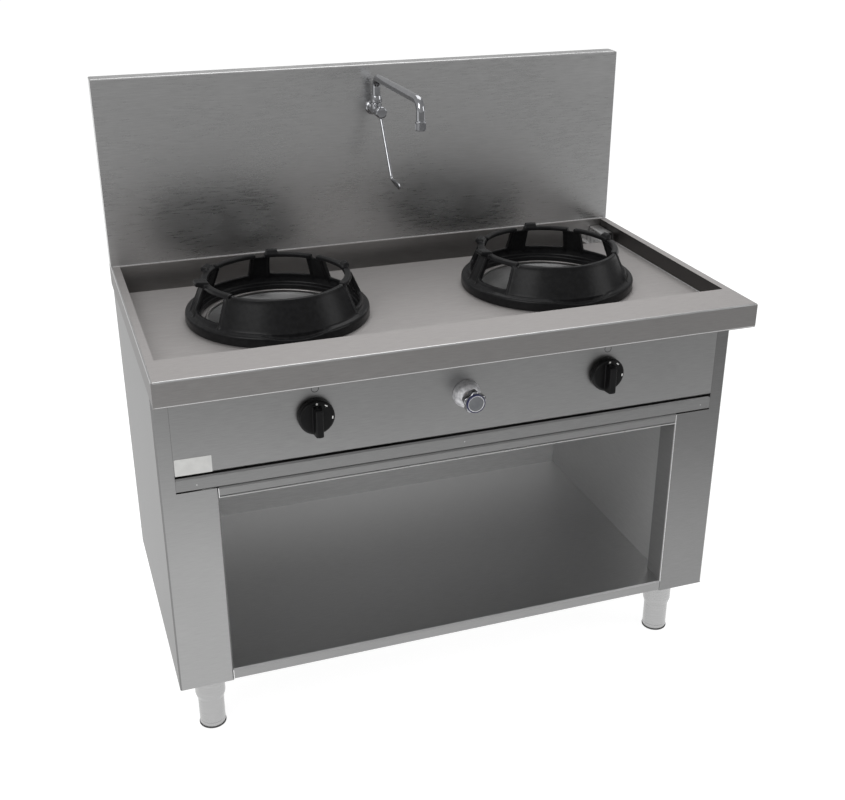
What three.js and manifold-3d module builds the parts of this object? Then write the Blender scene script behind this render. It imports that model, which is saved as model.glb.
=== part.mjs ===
// Wok range with two burners on an open cabinet: folded stainless steel sheet, two cast iron wok
// rings that lift off, push-and-turn gas taps and a swing-spout water tap on the splashback.
// Millimetres. X to the right, Y to the back, Z up. The origin is on the floor, under the middle.

import * as THREE from 'three';
import { mergeVertices, toCreasedNormals } from 'three/addons/utils/BufferGeometryUtils.js';
import Module from 'manifold-3d';

const wasm = await Module();
wasm.setup();

// ---------------------------------------------------------------- driving dimensions

const WIDTH = 1200;
const DEPTH = 700;
const WORKTOP_TOP = 860;
const CABINET_BOTTOM = 150;
const SEAT_GAP = 0.3; // left between pieces that touch
const BEND_RADIUS = 2; // inside radius of a sheet fold
const FLANGE_GAP = 1; // between a flange and a piece that runs past it
const PIPE_HOLE_GAP = 2; // round a pipe that passes through a sheet
const SPINDLE_HOLE_GAP = 2; // round a spindle that passes through a sheet
const OVER = 1; // how far a cutting tool runs past what it cuts
const OVERLAP = 1; // how far two forms of one piece run into each other
const PIPE_END_REACH = 1; // of a pipe's end out of the rear panel
const PIERCE = 5; // half the length of a tool that pierces a sheet

// worktop, a deep-edged pan with a gutter along its back
const WORKTOP_SHEET = 1.5;
const FASCIA_HEIGHT = 50;
const FASCIA_RETURN = 18;
const FASCIA_EDGE_RADIUS = 3;
const SIDE_RIM = 18.5;
const FRONT_RIM = 100;
const REAR_RIM = 46;
const PAN_DEPTH = 35;
const GUTTER_WIDTH = 75;
const GUTTER_DEPTH_LEFT = 40; // below the pan floor
const GUTTER_DEPTH_RIGHT = 55;
const GUTTER_LANDING = 78; // level part of the gutter at the drain
const BURNER_SPACING = 598;
const BURNER_MIDDLE_X = -2;
const BURNER_Y = -2;
const BURNER_OPENING_R = 143;
const BURNER_COLLAR_HEIGHT = 2.5;

// drain in the right end of the gutter, under a stepped strainer that lifts out
const DRAIN_FROM_END = 33;
const DRAIN_OPENING_R = 25;
const CUP_SHEET = 1.5;
const CUP_FLANGE = 9;
const CUP_STEP = 1; // cup's bore inside the gutter's opening
const CUP_DEPTH = 34;
const CUP_FUNNEL = 22;
const DRAIN_PIPE_R = 16;
const DRAIN_PIPE_BEND = 40;
const DRAIN_OUTLET_HEIGHT = 250;
const STRAINER_SHEET = 1.2;
const STRAINER_LENGTH = 66;
const STRAINER_HIGH_LENGTH = 28;
const STRAINER_STEP = 20; // the high plate above the pan floor
const STRAINER_HOLE_R = 2.5;
const STRAINER_PITCH = 10;
const STRAINER_RISER_PITCH = 15;
const STRAINER_SIDE_GAP = 2;
const STRAINER_MARGIN = 6; // bare edge round the strainer's holes
const STRAINER_RISER_HOLE_DROP = 6;
const STRAINER_LEG_SLOT = 12;

// splashback, a hollow folded upstand
const SPLASHBACK_RISE = 400;
const SPLASHBACK_DEPTH = 40;
const SPLASHBACK_SHEET = 1.2;
const SPLASHBACK_FLANGE = 22;
const BACK_COVER_FOLD = 12;

// cabinet
const PANEL_SHEET = 1.2;
const CABINET_INSET = 2.5; // sides and back stand this far inside the worktop's edge
const WORKTOP_OVERHANG = 80;
const STILE_WIDTH = 109.5;
const STILE_RETURN = 57;
const SIDE_STRIP = 30; // front edge of the side beside the control panel
const PANEL_FLANGE = 20;
const TOP_FLANGE = 11;
const CONTROL_PANEL_DROP = 229; // from the worktop's top to the panel's bottom edge
const CONTROL_PANEL_TOP_GAP = 2; // from its top flange to the pan's front wall
const AIR_SLOT = 5;
const RAIL_HEIGHT = 30;
const RAIL_RETURN = 30;
const CEILING_LIP = 20.5;
const CEILING_HEM = 12;
const INNER_SIDE_FROM_EDGE = 94; // from the worktop's side edge
const INNER_SIDE_SETBACK = 80;
const SHELF_RISE = 26; // above the cabinet's bottom
const SHELF_LIP = 25.2;
const SHELF_STIFFENER_WIDTH = 40;
const SHELF_STIFFENER_DEPTH = 20;
const SHELF_STIFFENER_END_GAP = 2;
const BASE_CHANNEL_SHEET = 1.5;
const BASE_CHANNEL_WIDTH = 65;
const BEARER_WIDTH = 40;
const BEARER_DEPTH = 28;
const BEARER_FRONT_GAP = 6; // to the burner wells' flanges
const BEARER_REAR_GAP = 10;
const AIR_HOLE_LENGTH = 70;
const AIR_HOLE_WIDTH = 8;
const AIR_HOLE_PITCH = 24;
const AIR_HOLE_ROWS = 3;
const REAR_AIR_HOLE_DROP = 120; // top row below the worktop's rim
const CEILING_AIR_HOLE_SETBACK = 500;

// adjustable feet
const FOOT_FROM_EDGE = 70;
const FOOT_FROM_FRONT = 154;
const FOOT_FROM_BACK = 80;
const FOOT_SLEEVE_R = 31.5;
const FOOT_SLEEVE_LENGTH = 62;
const FOOT_NOSE_LENGTH = 18;
const FOOT_SLEEVE_WALL = 3.5;
const FOOT_NOSE_WALL = 1.2;
const FOOT_STEM_R = 27;
const FOOT_STEM_WALL = 2;
const FOOT_PAD_R = 28.5;
const FOOT_PAD_HEIGHT = 9;

// wok ring
const RING_FOOT_R = 186.3;
const RING_FOOT_HEIGHT = 22;
const RING_FOOT_ROUND = 5;
const RING_LIP_R = 155;
const RING_LIP_HEIGHT = 11;
const RING_LIP_STEP = 2;
const RING_CONE_FOOT_R = 174.8;
const RING_CONE_FOOT_HEIGHT = 24;
const RING_CONE_TOP_R = 148; // where the cone's slope meets the rim's height
const RING_HEIGHT = 86;
const RING_WALL = 7;
const RING_BAR_HEIGHT = 9;
const RING_BAR_INNER_R = 137;
const RING_BAR_OUTER_R = 149.5;
const RING_WINDOW_BOTTOM = 32;
const RING_SHIELD_DROP = 2.5;
const RING_RIB_WIDTH = 5;
const RING_RIB_PROUD = 2.2;
const RING_RIB_ROOT = 2; // sunk into the foot
const RING_LUG_RISE = 8;
const RING_LUG_THICKNESS = 9;
const RING_LUG_BEVEL = 4;
const RING_LUG_FALL = 3; // its top, from the tip's side to the rim's inside
const RING_LUG_ROOT = 2; // sunk into the rim
const RING_LUG_SET_IN = 3; // from the rim's inside
const RING_DIP_DEPTH = 8; // scooped out of the foot below the shield
const RING_DIP_WIDTH = 132;
const RING_DIP_SET_OUT = 1; // from the cone's foot
const RING_TOOL_DEPTH = 20; // how far a window's tool reaches inside the rim
// angles in degrees, anticlockwise from +X seen from above
const RING_WINDOWS = [[10, 36], [52, 83], [99, 131], [144, 174], [188, 216], [322, 355]];
const RING_NOTCHES = [
  [-3.5, -0.5], [41, 46.8], [87.5, 95.6], [137.5, 141.5], [175, 178], [220, 222], [318, 320],
];
const RING_SHIELD = [222, 318];
const RING_LUGS = [
  { from: 1, to: 9, reach: 4 },
  { from: 76.5, to: 86, reach: 2 },
  { from: 143, to: 153, reach: 8 },
  { from: 179, to: 189, reach: 18 },
];

// burner and the well that it stands in
const WELL_SHEET = 1.5;
const WELL_FLANGE_WIDTH = 11;
const WELL_INSET = 2; // its mouth inside the opening in the pan
const WELL_CONE_DEPTH = 42;
const WELL_THROAT_R = 84;
const WELL_BOTTOM_R = 80;
const WELL_DEPTH = 83;
const WELL_HOLE_R = 30;
const BURNER_HEAD_R = 62;
const BURNER_HEAD_HEIGHT = 34;
const BURNER_CROWN_R = 50;
const BURNER_CHAMFER = 9;
const BURNER_SHOULDER_R = 45;
const BURNER_SHOULDER = 6;
const BURNER_NECK_R = 34;
const BURNER_NECK = 24;
const BURNER_STEM_R = 22;
const BURNER_PORTS = 8;
const BURNER_PORT_R = 3;
const BURNER_PORT_DEPTH = 6;
const VENTURI_DROP = 58; // mixing tube's axis below the gas taps
const VENTURI_LENGTH = 170;
const VENTURI_R = 20;
const VENTURI_MOUTH_R = 26;
const VENTURI_MOUTH_LENGTH = 24;
const VENTURI_BORE_R = 15;
const VENTURI_BORE_LENGTH = 60;
const VENTURI_END = 3;
const AIR_SHUTTER_SETBACK = 2;
const AIR_SHUTTER_HEIGHT = 12;
const AIR_SHUTTER_LENGTH = 16;

// gas taps and pipes
const CONTROL_DROP = 142; // taps and valve below the worktop's top
const CONTROL_MIDDLE_X = 7;
const KNOB_SPACING = 608;
const MANIFOLD_SETBACK = 65;
const MANIFOLD_R = 10.7;
const MANIFOLD_WALL = 2.6;
const MANIFOLD_LEFT_END = 40; // past the left tap
const MANIFOLD_TURN_FROM_EDGE = 145;
const PIPE_BEND = 30;
const GAS_TAP_NECK_R = 12;
const GAS_TAP_NECK = 6.5;
const GAS_TAP_BODY_R = 17;
const GAS_TAP_BODY = 40;
const GAS_TAP_SADDLE_R = 13;
const GAS_TAP_OUTLET_R = 8;
const GAS_TAP_OUTLET_DROP = 28;
const GAS_TAP_WALL = 2; // between the plug and the outlet's end
const TAP_PLUG_R = 9;
const TAP_PLUG_TAPER = 1.5;
const TAP_PLUG_LENGTH = 30;
const TAP_PLUG_BORE_LENGTH = 24;
const RUNNING_GAP = 0.2; // round a spindle or plug that turns
const SPINDLE_R = 4;
const GAS_PIPE_R = 5;
const GAS_PIPE_BEND = 14;
const INJECTOR_R = 6.2;
const INJECTOR_LENGTH = 14;

// gas knob
const KNOB_TRAVEL = 4;
const KNOB_GAP = 5; // panel to skirt
const KNOB_R = 35.5;
const KNOB_SKIRT = 12;
const KNOB_SKIRT_ROUND = 2.5;
const KNOB_GRIP_WIDTH = 17;
const KNOB_GRIP_HEIGHT = 20;
const KNOB_GRIP_DRAFT = 2;
const KNOB_HOLLOW_R = 30;
const KNOB_HOLLOW = 7;
const KNOB_HUB_R = 9;
const KNOB_BORE = 25;

// water valve on the control panel
const VALVE_NECK_R = 11;
const VALVE_BODY_R = 15;
const VALVE_BODY = 46;
const VALVE_WALL = 3; // between the spindle and the ports
const VALVE_OUTLET_R = 8;
const VALVE_OUTLET_DROP = 26;
const VALVE_INLET_REACH = 28;
const VALVE_SPINDLE_R = 5;
const VALVE_SPINDLE_DEPTH = 30;
const ESCUTCHEON_R = 28.5;
const ESCUTCHEON_DEPTH = 24;
const ESCUTCHEON_NOSE_R = 13.5;
const ESCUTCHEON_SHOULDER = 3;
const ESCUTCHEON_SWELL = 3; // out of a straight cone, half-way
const ESCUTCHEON_NOSE_DRAFT = 1;
const ESCUTCHEON_WALL = 1.8;
const HANDLE_GAP = 4; // escutcheon to handle
const HANDLE_THICKNESS = 22;
const HANDLE_LOBES = 5;
const HANDLE_MEAN_R = 21.5;
const HANDLE_LOBE = 2.5;
const HANDLE_NECK_R = 11;
const HANDLE_NECK = 6;
const HANDLE_FACE = 1; // metal left in front of the spindle
const INDEX_R = 19;
const INDEX_THICKNESS = 5.5;
const INDEX_CHAMFER = 1.5;
const WATER_PIPE_R = 7;
const WATER_PIPE_BEND = 11;
const WATER_PIPE_DROP = 68; // below the valve
const WATER_PIPE_FROM_BACK = 20;
const WATER_INLET_X = 70;

// swing-spout tap on the splashback
const TAP_RISE = 308; // above the worktop
const TAP_FLANGE_R = 16;
const TAP_FLANGE = 7;
const TAP_FLANGE_CHAMFER = 3;
const TAP_TAIL_R = 10.5;
const TAP_TAIL_LENGTH = 14;
const TAP_BARREL_R = 12.5;
const TAP_BARREL_END = 47; // barrel's front from the splashback
const TAP_BONNET_R = 10.5;
const TAP_BONNET_END = 58;
const TAP_SPINDLE_R = 5;
const TAP_SPINDLE_LENGTH = 11;
const SWIVEL_FROM_SPLASHBACK = 33;
const SWIVEL_BOSS_R = 12;
const SWIVEL_BOSS_RISE = 16;
const SWIVEL_NUT_R = 13;
const SWIVEL_NUT_HEIGHT = 15;
const SWIVEL_NUT_LIP = 1.5;
const SPOUT_R = 9;
const SPOUT_WALL = 1.5;
const SPOUT_RISE = 70;
const SPOUT_REACH = 297;
const SPOUT_DROP = 48;
const SPOUT_BEND = 22;
const AERATOR_R = 11;
const AERATOR_LENGTH = 19;
const AERATOR_SOCKET = 10;
const AERATOR_CHAMFER = 1.5;
const LEVER_HUB_R = 13;
const LEVER_HUB = 16;
const LEVER_HUB_CHAMFER = 1.5;
const LEVER_HUB_BORE = 12;
const LEVER_ROD_R = 3.5;
const LEVER_ROD_BEND = 10;
const LEVER_DROP = 130; // tap's axis to the paddle
const LEVER_ROD_REACH = 75; // from the hub's back third to the paddle, towards the front
const LEVER_ROD_START_DROP = 9;
const PADDLE_LENGTH = 56;
const PADDLE_SLOPE = 5;
const PADDLE_HEIGHT = 13;
const PADDLE_THICKNESS = 4;
const PADDLE_ROUND = 6;
const PADDLE_ROOT_ROUND = 3;
const PADDLE_ROD_OVERLAP = 14; // how far the rod runs into the paddle

// facets
const FINE = 36; // round a wok ring
const MEDIUM = 24;
const ROUND = 16;
const SMALL = 10;
const TINY = 6;
const ARC_STEPS = 3; // to a right angle
const BEND_STEPS = 1;
const CORNER_STEPS = 2;
const SLOT_STEPS = 3;

// ---------------------------------------------------------------- places worked out from them

const FRONT = -DEPTH / 2;
const BACK = DEPTH / 2;
const HALF_WIDTH = WIDTH / 2;
const FASCIA_BOTTOM = WORKTOP_TOP - FASCIA_HEIGHT;
const PAN_FLOOR = WORKTOP_TOP - PAN_DEPTH;
const PAN_UNDERSIDE = PAN_FLOOR - WORKTOP_SHEET;
const PAN_SIDE = HALF_WIDTH - SIDE_RIM;
const PAN_FRONT = FRONT + FRONT_RIM;
const PAN_BACK = BACK - REAR_RIM;
const GUTTER_FRONT = PAN_BACK - GUTTER_WIDTH;
const GUTTER_LOW = PAN_FLOOR - GUTTER_DEPTH_RIGHT;
const BURNER_XS = [BURNER_MIDDLE_X - BURNER_SPACING / 2, BURNER_MIDDLE_X + BURNER_SPACING / 2];
const BURNER_COLLAR_R = BURNER_OPENING_R + WORKTOP_SHEET;
const DRAIN_X = PAN_SIDE - DRAIN_FROM_END;
const DRAIN_Y = PAN_BACK - GUTTER_WIDTH / 2;
const RIM_UNDERSIDE = WORKTOP_TOP - WORKTOP_SHEET - SEAT_GAP;

const SPLASHBACK_FRONT = BACK - SPLASHBACK_DEPTH;
const SPLASHBACK_TOP = WORKTOP_TOP + SPLASHBACK_RISE;

const CABINET_FRONT = FRONT + WORKTOP_OVERHANG;
const CABINET_BACK = BACK - CABINET_INSET;
const CABINET_SIDE = HALF_WIDTH - CABINET_INSET;
const SIDE_INNER = CABINET_SIDE - PANEL_SHEET;
const SIDE_BACK = CABINET_BACK - PANEL_SHEET - SEAT_GAP;
const STILE_EDGE = CABINET_SIDE - STILE_WIDTH;
const STRIP_EDGE = CABINET_SIDE - SIDE_STRIP;
const CONTROL_PANEL_BOTTOM = WORKTOP_TOP - CONTROL_PANEL_DROP;
const RAIL_TOP = CONTROL_PANEL_BOTTOM - AIR_SLOT;
const RAIL_BOTTOM = RAIL_TOP - RAIL_HEIGHT;
const BEHIND_STILE = CABINET_FRONT + STILE_RETURN + SEAT_GAP;
const INNER_SIDE_X = HALF_WIDTH - INNER_SIDE_FROM_EDGE;
const SHELF_TOP = CABINET_BOTTOM + SHELF_RISE;
const CHANNEL_TOP = SHELF_TOP - PANEL_SHEET - SEAT_GAP;
const CHANNEL_OUTER = CABINET_SIDE - PANEL_FLANGE - 2 * BEND_RADIUS;
const CHANNEL_INNER = CHANNEL_OUTER - BASE_CHANNEL_WIDTH;

const FOOT_X = HALF_WIDTH - FOOT_FROM_EDGE;

const CONTROL_HEIGHT = WORKTOP_TOP - CONTROL_DROP;
const WELL_TOP = PAN_UNDERSIDE - SEAT_GAP;
const WELL_BOTTOM = WELL_TOP - WELL_DEPTH;
const WELL_MOUTH_R = BURNER_OPENING_R - WELL_INSET;
const WELL_FLANGE_R = WELL_MOUTH_R + WELL_FLANGE_WIDTH;
const FRONT_BEARER_Y = BURNER_Y - WELL_FLANGE_R - BEARER_FRONT_GAP - BEARER_WIDTH;
const REAR_BEARER_Y = BURNER_Y + WELL_FLANGE_R + BEARER_REAR_GAP;
const BURNER_SEAT = WELL_BOTTOM + WELL_SHEET + SEAT_GAP;
const VENTURI_Z = CONTROL_HEIGHT - VENTURI_DROP;
const VENTURI_FRONT = BURNER_Y - VENTURI_LENGTH;

const KNOB_XS = [CONTROL_MIDDLE_X - KNOB_SPACING / 2, CONTROL_MIDDLE_X + KNOB_SPACING / 2];
const BEHIND_PANEL = CABINET_FRONT + PANEL_SHEET + SEAT_GAP;
const MANIFOLD_Y = CABINET_FRONT + MANIFOLD_SETBACK;
const MANIFOLD_TURN_X = HALF_WIDTH - MANIFOLD_TURN_FROM_EDGE;
const GAS_TAP_BACK = BEHIND_PANEL + GAS_TAP_NECK + GAS_TAP_BODY;
const GAS_TAP_OUTLET_Y = BEHIND_PANEL + GAS_TAP_NECK + GAS_TAP_BODY / 2;
const PLUG_FRONT = BEHIND_PANEL + GAS_TAP_NECK + RUNNING_GAP;
const PLUG_BACK = PLUG_FRONT + TAP_PLUG_LENGTH;
const KNOB_BACK = CABINET_FRONT - KNOB_GAP;
const SPINDLE_BACK = PLUG_FRONT + TAP_PLUG_BORE_LENGTH - KNOB_TRAVEL - 2 * SEAT_GAP;

const VALVE_OUTLET_Y = BEHIND_PANEL + VALVE_BODY / 2;
const ESCUTCHEON_FRONT = CABINET_FRONT - SEAT_GAP - ESCUTCHEON_DEPTH;
const HANDLE_BACK = ESCUTCHEON_FRONT - HANDLE_GAP;
const HANDLE_FRONT = HANDLE_BACK - HANDLE_THICKNESS;
const WATER_PIPE_Y = BACK - WATER_PIPE_FROM_BACK;
const WATER_PIPE_HEIGHT = CONTROL_HEIGHT - WATER_PIPE_DROP;

const TAP_HEIGHT = WORKTOP_TOP + TAP_RISE;
const SWIVEL_Y = SPLASHBACK_FRONT - SWIVEL_FROM_SPLASHBACK;
const SWIVEL_SEAT = TAP_HEIGHT + SWIVEL_BOSS_RISE;
const SPOUT_TOP = TAP_HEIGHT + SPOUT_RISE;
const SPOUT_TIP_Y = SWIVEL_Y - SPOUT_REACH;
const HUB_BACK = SPLASHBACK_FRONT - TAP_BONNET_END - SEAT_GAP;
const HUB_FRONT = HUB_BACK - LEVER_HUB;

// ---------------------------------------------------------------- shape helpers

/** A closed solid from a three.js geometry, whichever way its faces were wound. */
function toSolid(geometry) {
  const bare = geometry.clone();
  bare.deleteAttribute('normal');
  bare.deleteAttribute('uv');
  const merged = mergeVertices(bare, 1e-4);
  const position = merged.getAttribute('position');
  const corner = [new THREE.Vector3(), new THREE.Vector3(), new THREE.Vector3()];
  const triangles = [];
  let volume = 0;
  for (let i = 0; i < merged.index.count; i += 3) {
    const ids = [0, 1, 2].map((k) => merged.index.getX(i + k));
    if (ids[0] === ids[1] || ids[1] === ids[2] || ids[2] === ids[0]) continue;
    ids.forEach((id, k) => corner[k].fromBufferAttribute(position, id));
    volume += corner[0].dot(corner[1].clone().cross(corner[2]));
    triangles.push(ids);
  }
  if (volume < 0) triangles.forEach((ids) => ids.reverse());
  const mesh = new wasm.Mesh({
    numProp: 3,
    vertProperties: Float32Array.from(position.array),
    triVerts: Uint32Array.from(triangles.flat()),
  });
  mesh.merge();
  return new wasm.Manifold(mesh);
}

/** The three.js geometry of a solid, with its sharp edges kept sharp. */
function toGeometry(solid) {
  const mesh = solid.getMesh();
  const geometry = new THREE.BufferGeometry();
  geometry.setAttribute('position', new THREE.BufferAttribute(mesh.vertProperties, 3));
  geometry.setIndex(new THREE.BufferAttribute(mesh.triVerts, 1));
  return toCreasedNormals(geometry, THREE.MathUtils.degToRad(30));
}

function join(first, ...others) {
  return others.reduce((whole, other) => whole.add(other), first);
}

function cut(solid, ...tools) {
  return tools.reduce((rest, tool) => rest.subtract(tool), solid);
}

/** The same solid on the other side of the plane X = 0. */
function mirrored(solid) {
  const geometry = toGeometry(solid);
  geometry.scale(-1, 1, 1);
  return toSolid(geometry);
}

/** A solid moved by x, y, z. */
function moved(geometry, x, y, z) {
  return toSolid(geometry.clone().translate(x, y, z));
}

/** A rectangular block between two corners. */
function block([x0, y0, z0], [x1, y1, z1]) {
  const geometry = new THREE.BoxGeometry(x1 - x0, y1 - y0, z1 - z0);
  return moved(geometry, (x0 + x1) / 2, (y0 + y1) / 2, (z0 + z1) / 2);
}

// Where an outline's own u, v and its extrusion go: along x it holds (y, z), along y (x, z).
const EXTRUSION_FRAMES = {
  x: [[0, 1, 0], [0, 0, 1], [1, 0, 0]],
  y: [[1, 0, 0], [0, 0, 1], [0, -1, 0]],
  z: [[1, 0, 0], [0, 1, 0], [0, 0, 1]],
};

function asShape(outline) {
  return new THREE.Shape(outline.map(([u, v]) => new THREE.Vector2(u, v)));
}

/** An outline, or a shape, extruded along one axis from start to end. */
function extrude(axis, outline, start, end) {
  const shape = Array.isArray(outline) ? asShape(outline) : outline;
  const settings = { depth: end - start, bevelEnabled: false, curveSegments: ARC_STEPS };
  const geometry = new THREE.ExtrudeGeometry(shape, settings);
  const frame = EXTRUSION_FRAMES[axis].map((v) => new THREE.Vector3(...v));
  geometry.applyMatrix4(new THREE.Matrix4().makeBasis(...frame));
  const offset = axis === 'y' ? -end : start;
  geometry.translate(...frame[2].clone().multiplyScalar(offset).toArray());
  return toSolid(geometry);
}

/** A profile of [radius, height] turned about an axis through centre, which is parallel to axis. */
function revolve(axis, profile, [x, y, z], facets = ROUND) {
  const points = [...profile, profile[0]].map(([r, h]) => new THREE.Vector2(r, h));
  const geometry = new THREE.LatheGeometry(points, facets);
  if (axis === 'z') geometry.rotateX(Math.PI / 2);
  return moved(geometry, x, y, z);
}

/** A round bar along an axis, from start to end on that axis. */
function bar(axis, radius, centre, start, end, facets = ROUND) {
  const [u, v] = centre;
  const place = { x: [0, u, v], y: [u, 0, v], z: [u, v, 0] }[axis];
  const geometry = new THREE.CylinderGeometry(radius, radius, end - start, facets);
  geometry.translate(0, (start + end) / 2, 0);
  if (axis === 'x') geometry.rotateZ(-Math.PI / 2);
  if (axis === 'z') geometry.rotateX(Math.PI / 2);
  return moved(geometry, ...place);
}

/** A bar to cut a round hole with, whose flats clear the stated radius. */
function hole(axis, radius, centre, start, end, facets = SMALL) {
  return bar(axis, radius / Math.cos(Math.PI / facets), centre, start, end, facets);
}

/** A closed outline with its corners rounded; a corner whose radius is 0 stays sharp. */
function rounded(corners, radii) {
  const outline = [];
  corners.forEach((corner, i) => {
    const at = new THREE.Vector2(...corner);
    const radius = radii[i];
    if (!radius) {
      outline.push(corner);
      return;
    }
    const before = new THREE.Vector2(...corners.at(i - 1)).sub(at).normalize();
    const after = new THREE.Vector2(...corners[(i + 1) % corners.length]).sub(at).normalize();
    const half = Math.acos(THREE.MathUtils.clamp(before.dot(after), -1, 1)) / 2;
    const middle = before.clone().add(after).normalize();
    const centre = middle.multiplyScalar(radius / Math.sin(half)).add(at);
    const from = before.multiplyScalar(radius / Math.tan(half)).add(at).sub(centre);
    const to = after.multiplyScalar(radius / Math.tan(half)).add(at).sub(centre);
    const sweep = Math.atan2(from.cross(to), from.dot(to));
    for (let k = 0; k <= CORNER_STEPS; k += 1) {
      const spoke = from.clone().rotateAround(new THREE.Vector2(), (sweep * k) / CORNER_STEPS);
      outline.push(spoke.add(centre).toArray());
    }
  });
  return outline;
}

/**
 * The section of a folded sheet. skin holds the corners of one face, and the metal lies to the left
 * of the way that they run; every fold is rounded about the same inside radius.
 */
function foldedSheet(skin, thickness) {
  const near = [];
  const far = [];
  const corners = skin.map(([u, v]) => new THREE.Vector2(u, v));
  const left = (way) => new THREE.Vector2(-way.y, way.x);
  const way = (i) => corners[i + 1].clone().sub(corners[i]).normalize();
  corners.forEach((corner, i) => {
    if (i === 0 || i === corners.length - 1) {
      const across = left(way(Math.min(i, corners.length - 2)));
      near.push(corner.toArray());
      far.push(corner.clone().addScaledVector(across, thickness).toArray());
      return;
    }
    const incoming = way(i - 1);
    const outgoing = way(i);
    const turn = Math.atan2(incoming.cross(outgoing), incoming.dot(outgoing));
    const nearRadius = turn > 0 ? BEND_RADIUS + thickness : BEND_RADIUS;
    const farRadius = turn > 0 ? BEND_RADIUS : BEND_RADIUS + thickness;
    const spoke = left(incoming).multiplyScalar(-Math.sign(turn));
    const setback = nearRadius * Math.tan(Math.abs(turn) / 2);
    const start = corner.clone().addScaledVector(incoming, -setback);
    const centre = start.addScaledVector(spoke, -nearRadius);
    for (let k = 0; k <= BEND_STEPS; k += 1) {
      const arm = spoke.clone().rotateAround(new THREE.Vector2(), (turn * k) / BEND_STEPS);
      near.push(centre.clone().addScaledVector(arm, nearRadius).toArray());
      far.push(centre.clone().addScaledVector(arm, farRadius).toArray());
    }
  });
  return [...near, ...far.reverse()];
}

/** The route of a bent pipe: straight runs between corners, with an arc of one radius at each. */
class PipeRoute extends THREE.Curve {
  constructor(corners, bend) {
    super();
    const points = corners.map((corner) => new THREE.Vector3(...corner));
    this.stations = [points[0]];
    points.slice(1, -1).forEach((corner, i) => this.bendAt(points[i], corner, points[i + 2], bend));
    this.stations.push(points.at(-1));
  }

  bendAt(before, corner, after, bend) {
    const from = before.clone().sub(corner).normalize();
    const to = after.clone().sub(corner).normalize();
    const half = from.angleTo(to) / 2;
    const tangent = bend / Math.tan(half);
    const middle = from.clone().add(to).normalize();
    const centre = middle.multiplyScalar(bend / Math.sin(half)).add(corner);
    const spoke = from.clone().multiplyScalar(tangent).add(corner).sub(centre);
    const axis = to.clone().cross(from).normalize();
    const steps = Math.max(1, Math.round((ARC_STEPS * (Math.PI - 2 * half)) / (Math.PI / 2)));
    for (let k = 0; k <= steps; k += 1) {
      const arm = spoke.clone().applyAxisAngle(axis, ((Math.PI - 2 * half) * k) / steps);
      this.stations.push(arm.add(centre));
    }
  }

  getPoint(t) {
    const place = t * (this.stations.length - 1);
    const i = Math.min(Math.floor(place), this.stations.length - 2);
    return this.stations[i].clone().lerp(this.stations[i + 1], place - i);
  }

  getPointAt(u) {
    return this.getPoint(u);
  }

  getTangentAt(u) {
    return this.getTangent(u);
  }
}

/** A round bar bent along a route. */
function pipe(corners, radius, bend, facets = SMALL) {
  const route = new PipeRoute(corners, bend);
  const section = new THREE.Shape();
  section.absarc(0, 0, radius, 0, 2 * Math.PI);
  const settings = {
    steps: route.stations.length - 1,
    extrudePath: route,
    curveSegments: facets / 2,
    bevelEnabled: false,
  };
  return toSolid(new THREE.ExtrudeGeometry(section, settings));
}

const radians = THREE.MathUtils.degToRad;

/** A slice of a flat ring about the origin, from angle to angle in degrees. */
function sector(innerR, outerR, from, to, bottom, top) {
  const steps = Math.max(1, Math.round((to - from) / (360 / FINE)));
  const outline = [];
  for (let k = 0; k <= steps; k += 1) {
    const angle = radians(from + ((to - from) * k) / steps);
    outline.push([outerR * Math.cos(angle), outerR * Math.sin(angle)]);
  }
  for (let k = steps; k >= 0; k -= 1) {
    const angle = radians(from + ((to - from) * k) / steps);
    outline.push([innerR * Math.cos(angle), innerR * Math.sin(angle)]);
  }
  return extrude('z', outline, bottom, top);
}

/** A plate that stands in a plane through the Z axis; its outline holds [radius, height]. */
function radialPlate(outline, thickness, angle) {
  const settings = { depth: thickness, bevelEnabled: false };
  const geometry = new THREE.ExtrudeGeometry(asShape(outline), settings);
  geometry.translate(0, 0, -thickness / 2);
  geometry.rotateX(Math.PI / 2);
  geometry.rotateZ(radians(angle));
  return toSolid(geometry);
}

/** The outline of a slot with round ends, its length along u. */
function slotOutline(length, width, u, v) {
  const run = (length - width) / 2;
  const outline = [];
  for (const side of [1, -1]) {
    for (let k = 0; k <= SLOT_STEPS; k += 1) {
      const angle = (Math.PI * k) / SLOT_STEPS - Math.PI / 2;
      const along = run + (width / 2) * Math.cos(angle);
      const across = (width / 2) * Math.sin(angle);
      outline.push([u + side * along, v + side * across]);
    }
  }
  return outline;
}

// ---------------------------------------------------------------- finishes

const FINISHES = {
  brushedSteel: { color: 0x8e8e8e, roughness: 0.38, metalness: 0.9 },
  panSteel: { color: 0x9d9795, roughness: 0.42, metalness: 0.9 },
  galvanised: { color: 0x9a9c9e, roughness: 0.5, metalness: 0.8 },
  castIron: { color: 0x1d1d1e, roughness: 0.45, metalness: 0.25 },
  chrome: { color: 0xb9bbbe, roughness: 0.14, metalness: 1 },
  brass: { color: 0xb08d45, roughness: 0.35, metalness: 0.9 },
  blackPlastic: { color: 0x17171a, roughness: 0.4, metalness: 0 },
  blackRubber: { color: 0x141414, roughness: 0.8, metalness: 0 },
  indexPlastic: { color: 0x8a8d96, roughness: 0.35, metalness: 0.1 },
};

function addPiece(group, name, solid, finish) {
  const mesh = new THREE.Mesh(toGeometry(solid), new THREE.MeshStandardMaterial(FINISHES[finish]));
  mesh.name = name;
  group.add(mesh);
}

// ---------------------------------------------------------------- worktop and splashback

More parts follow.
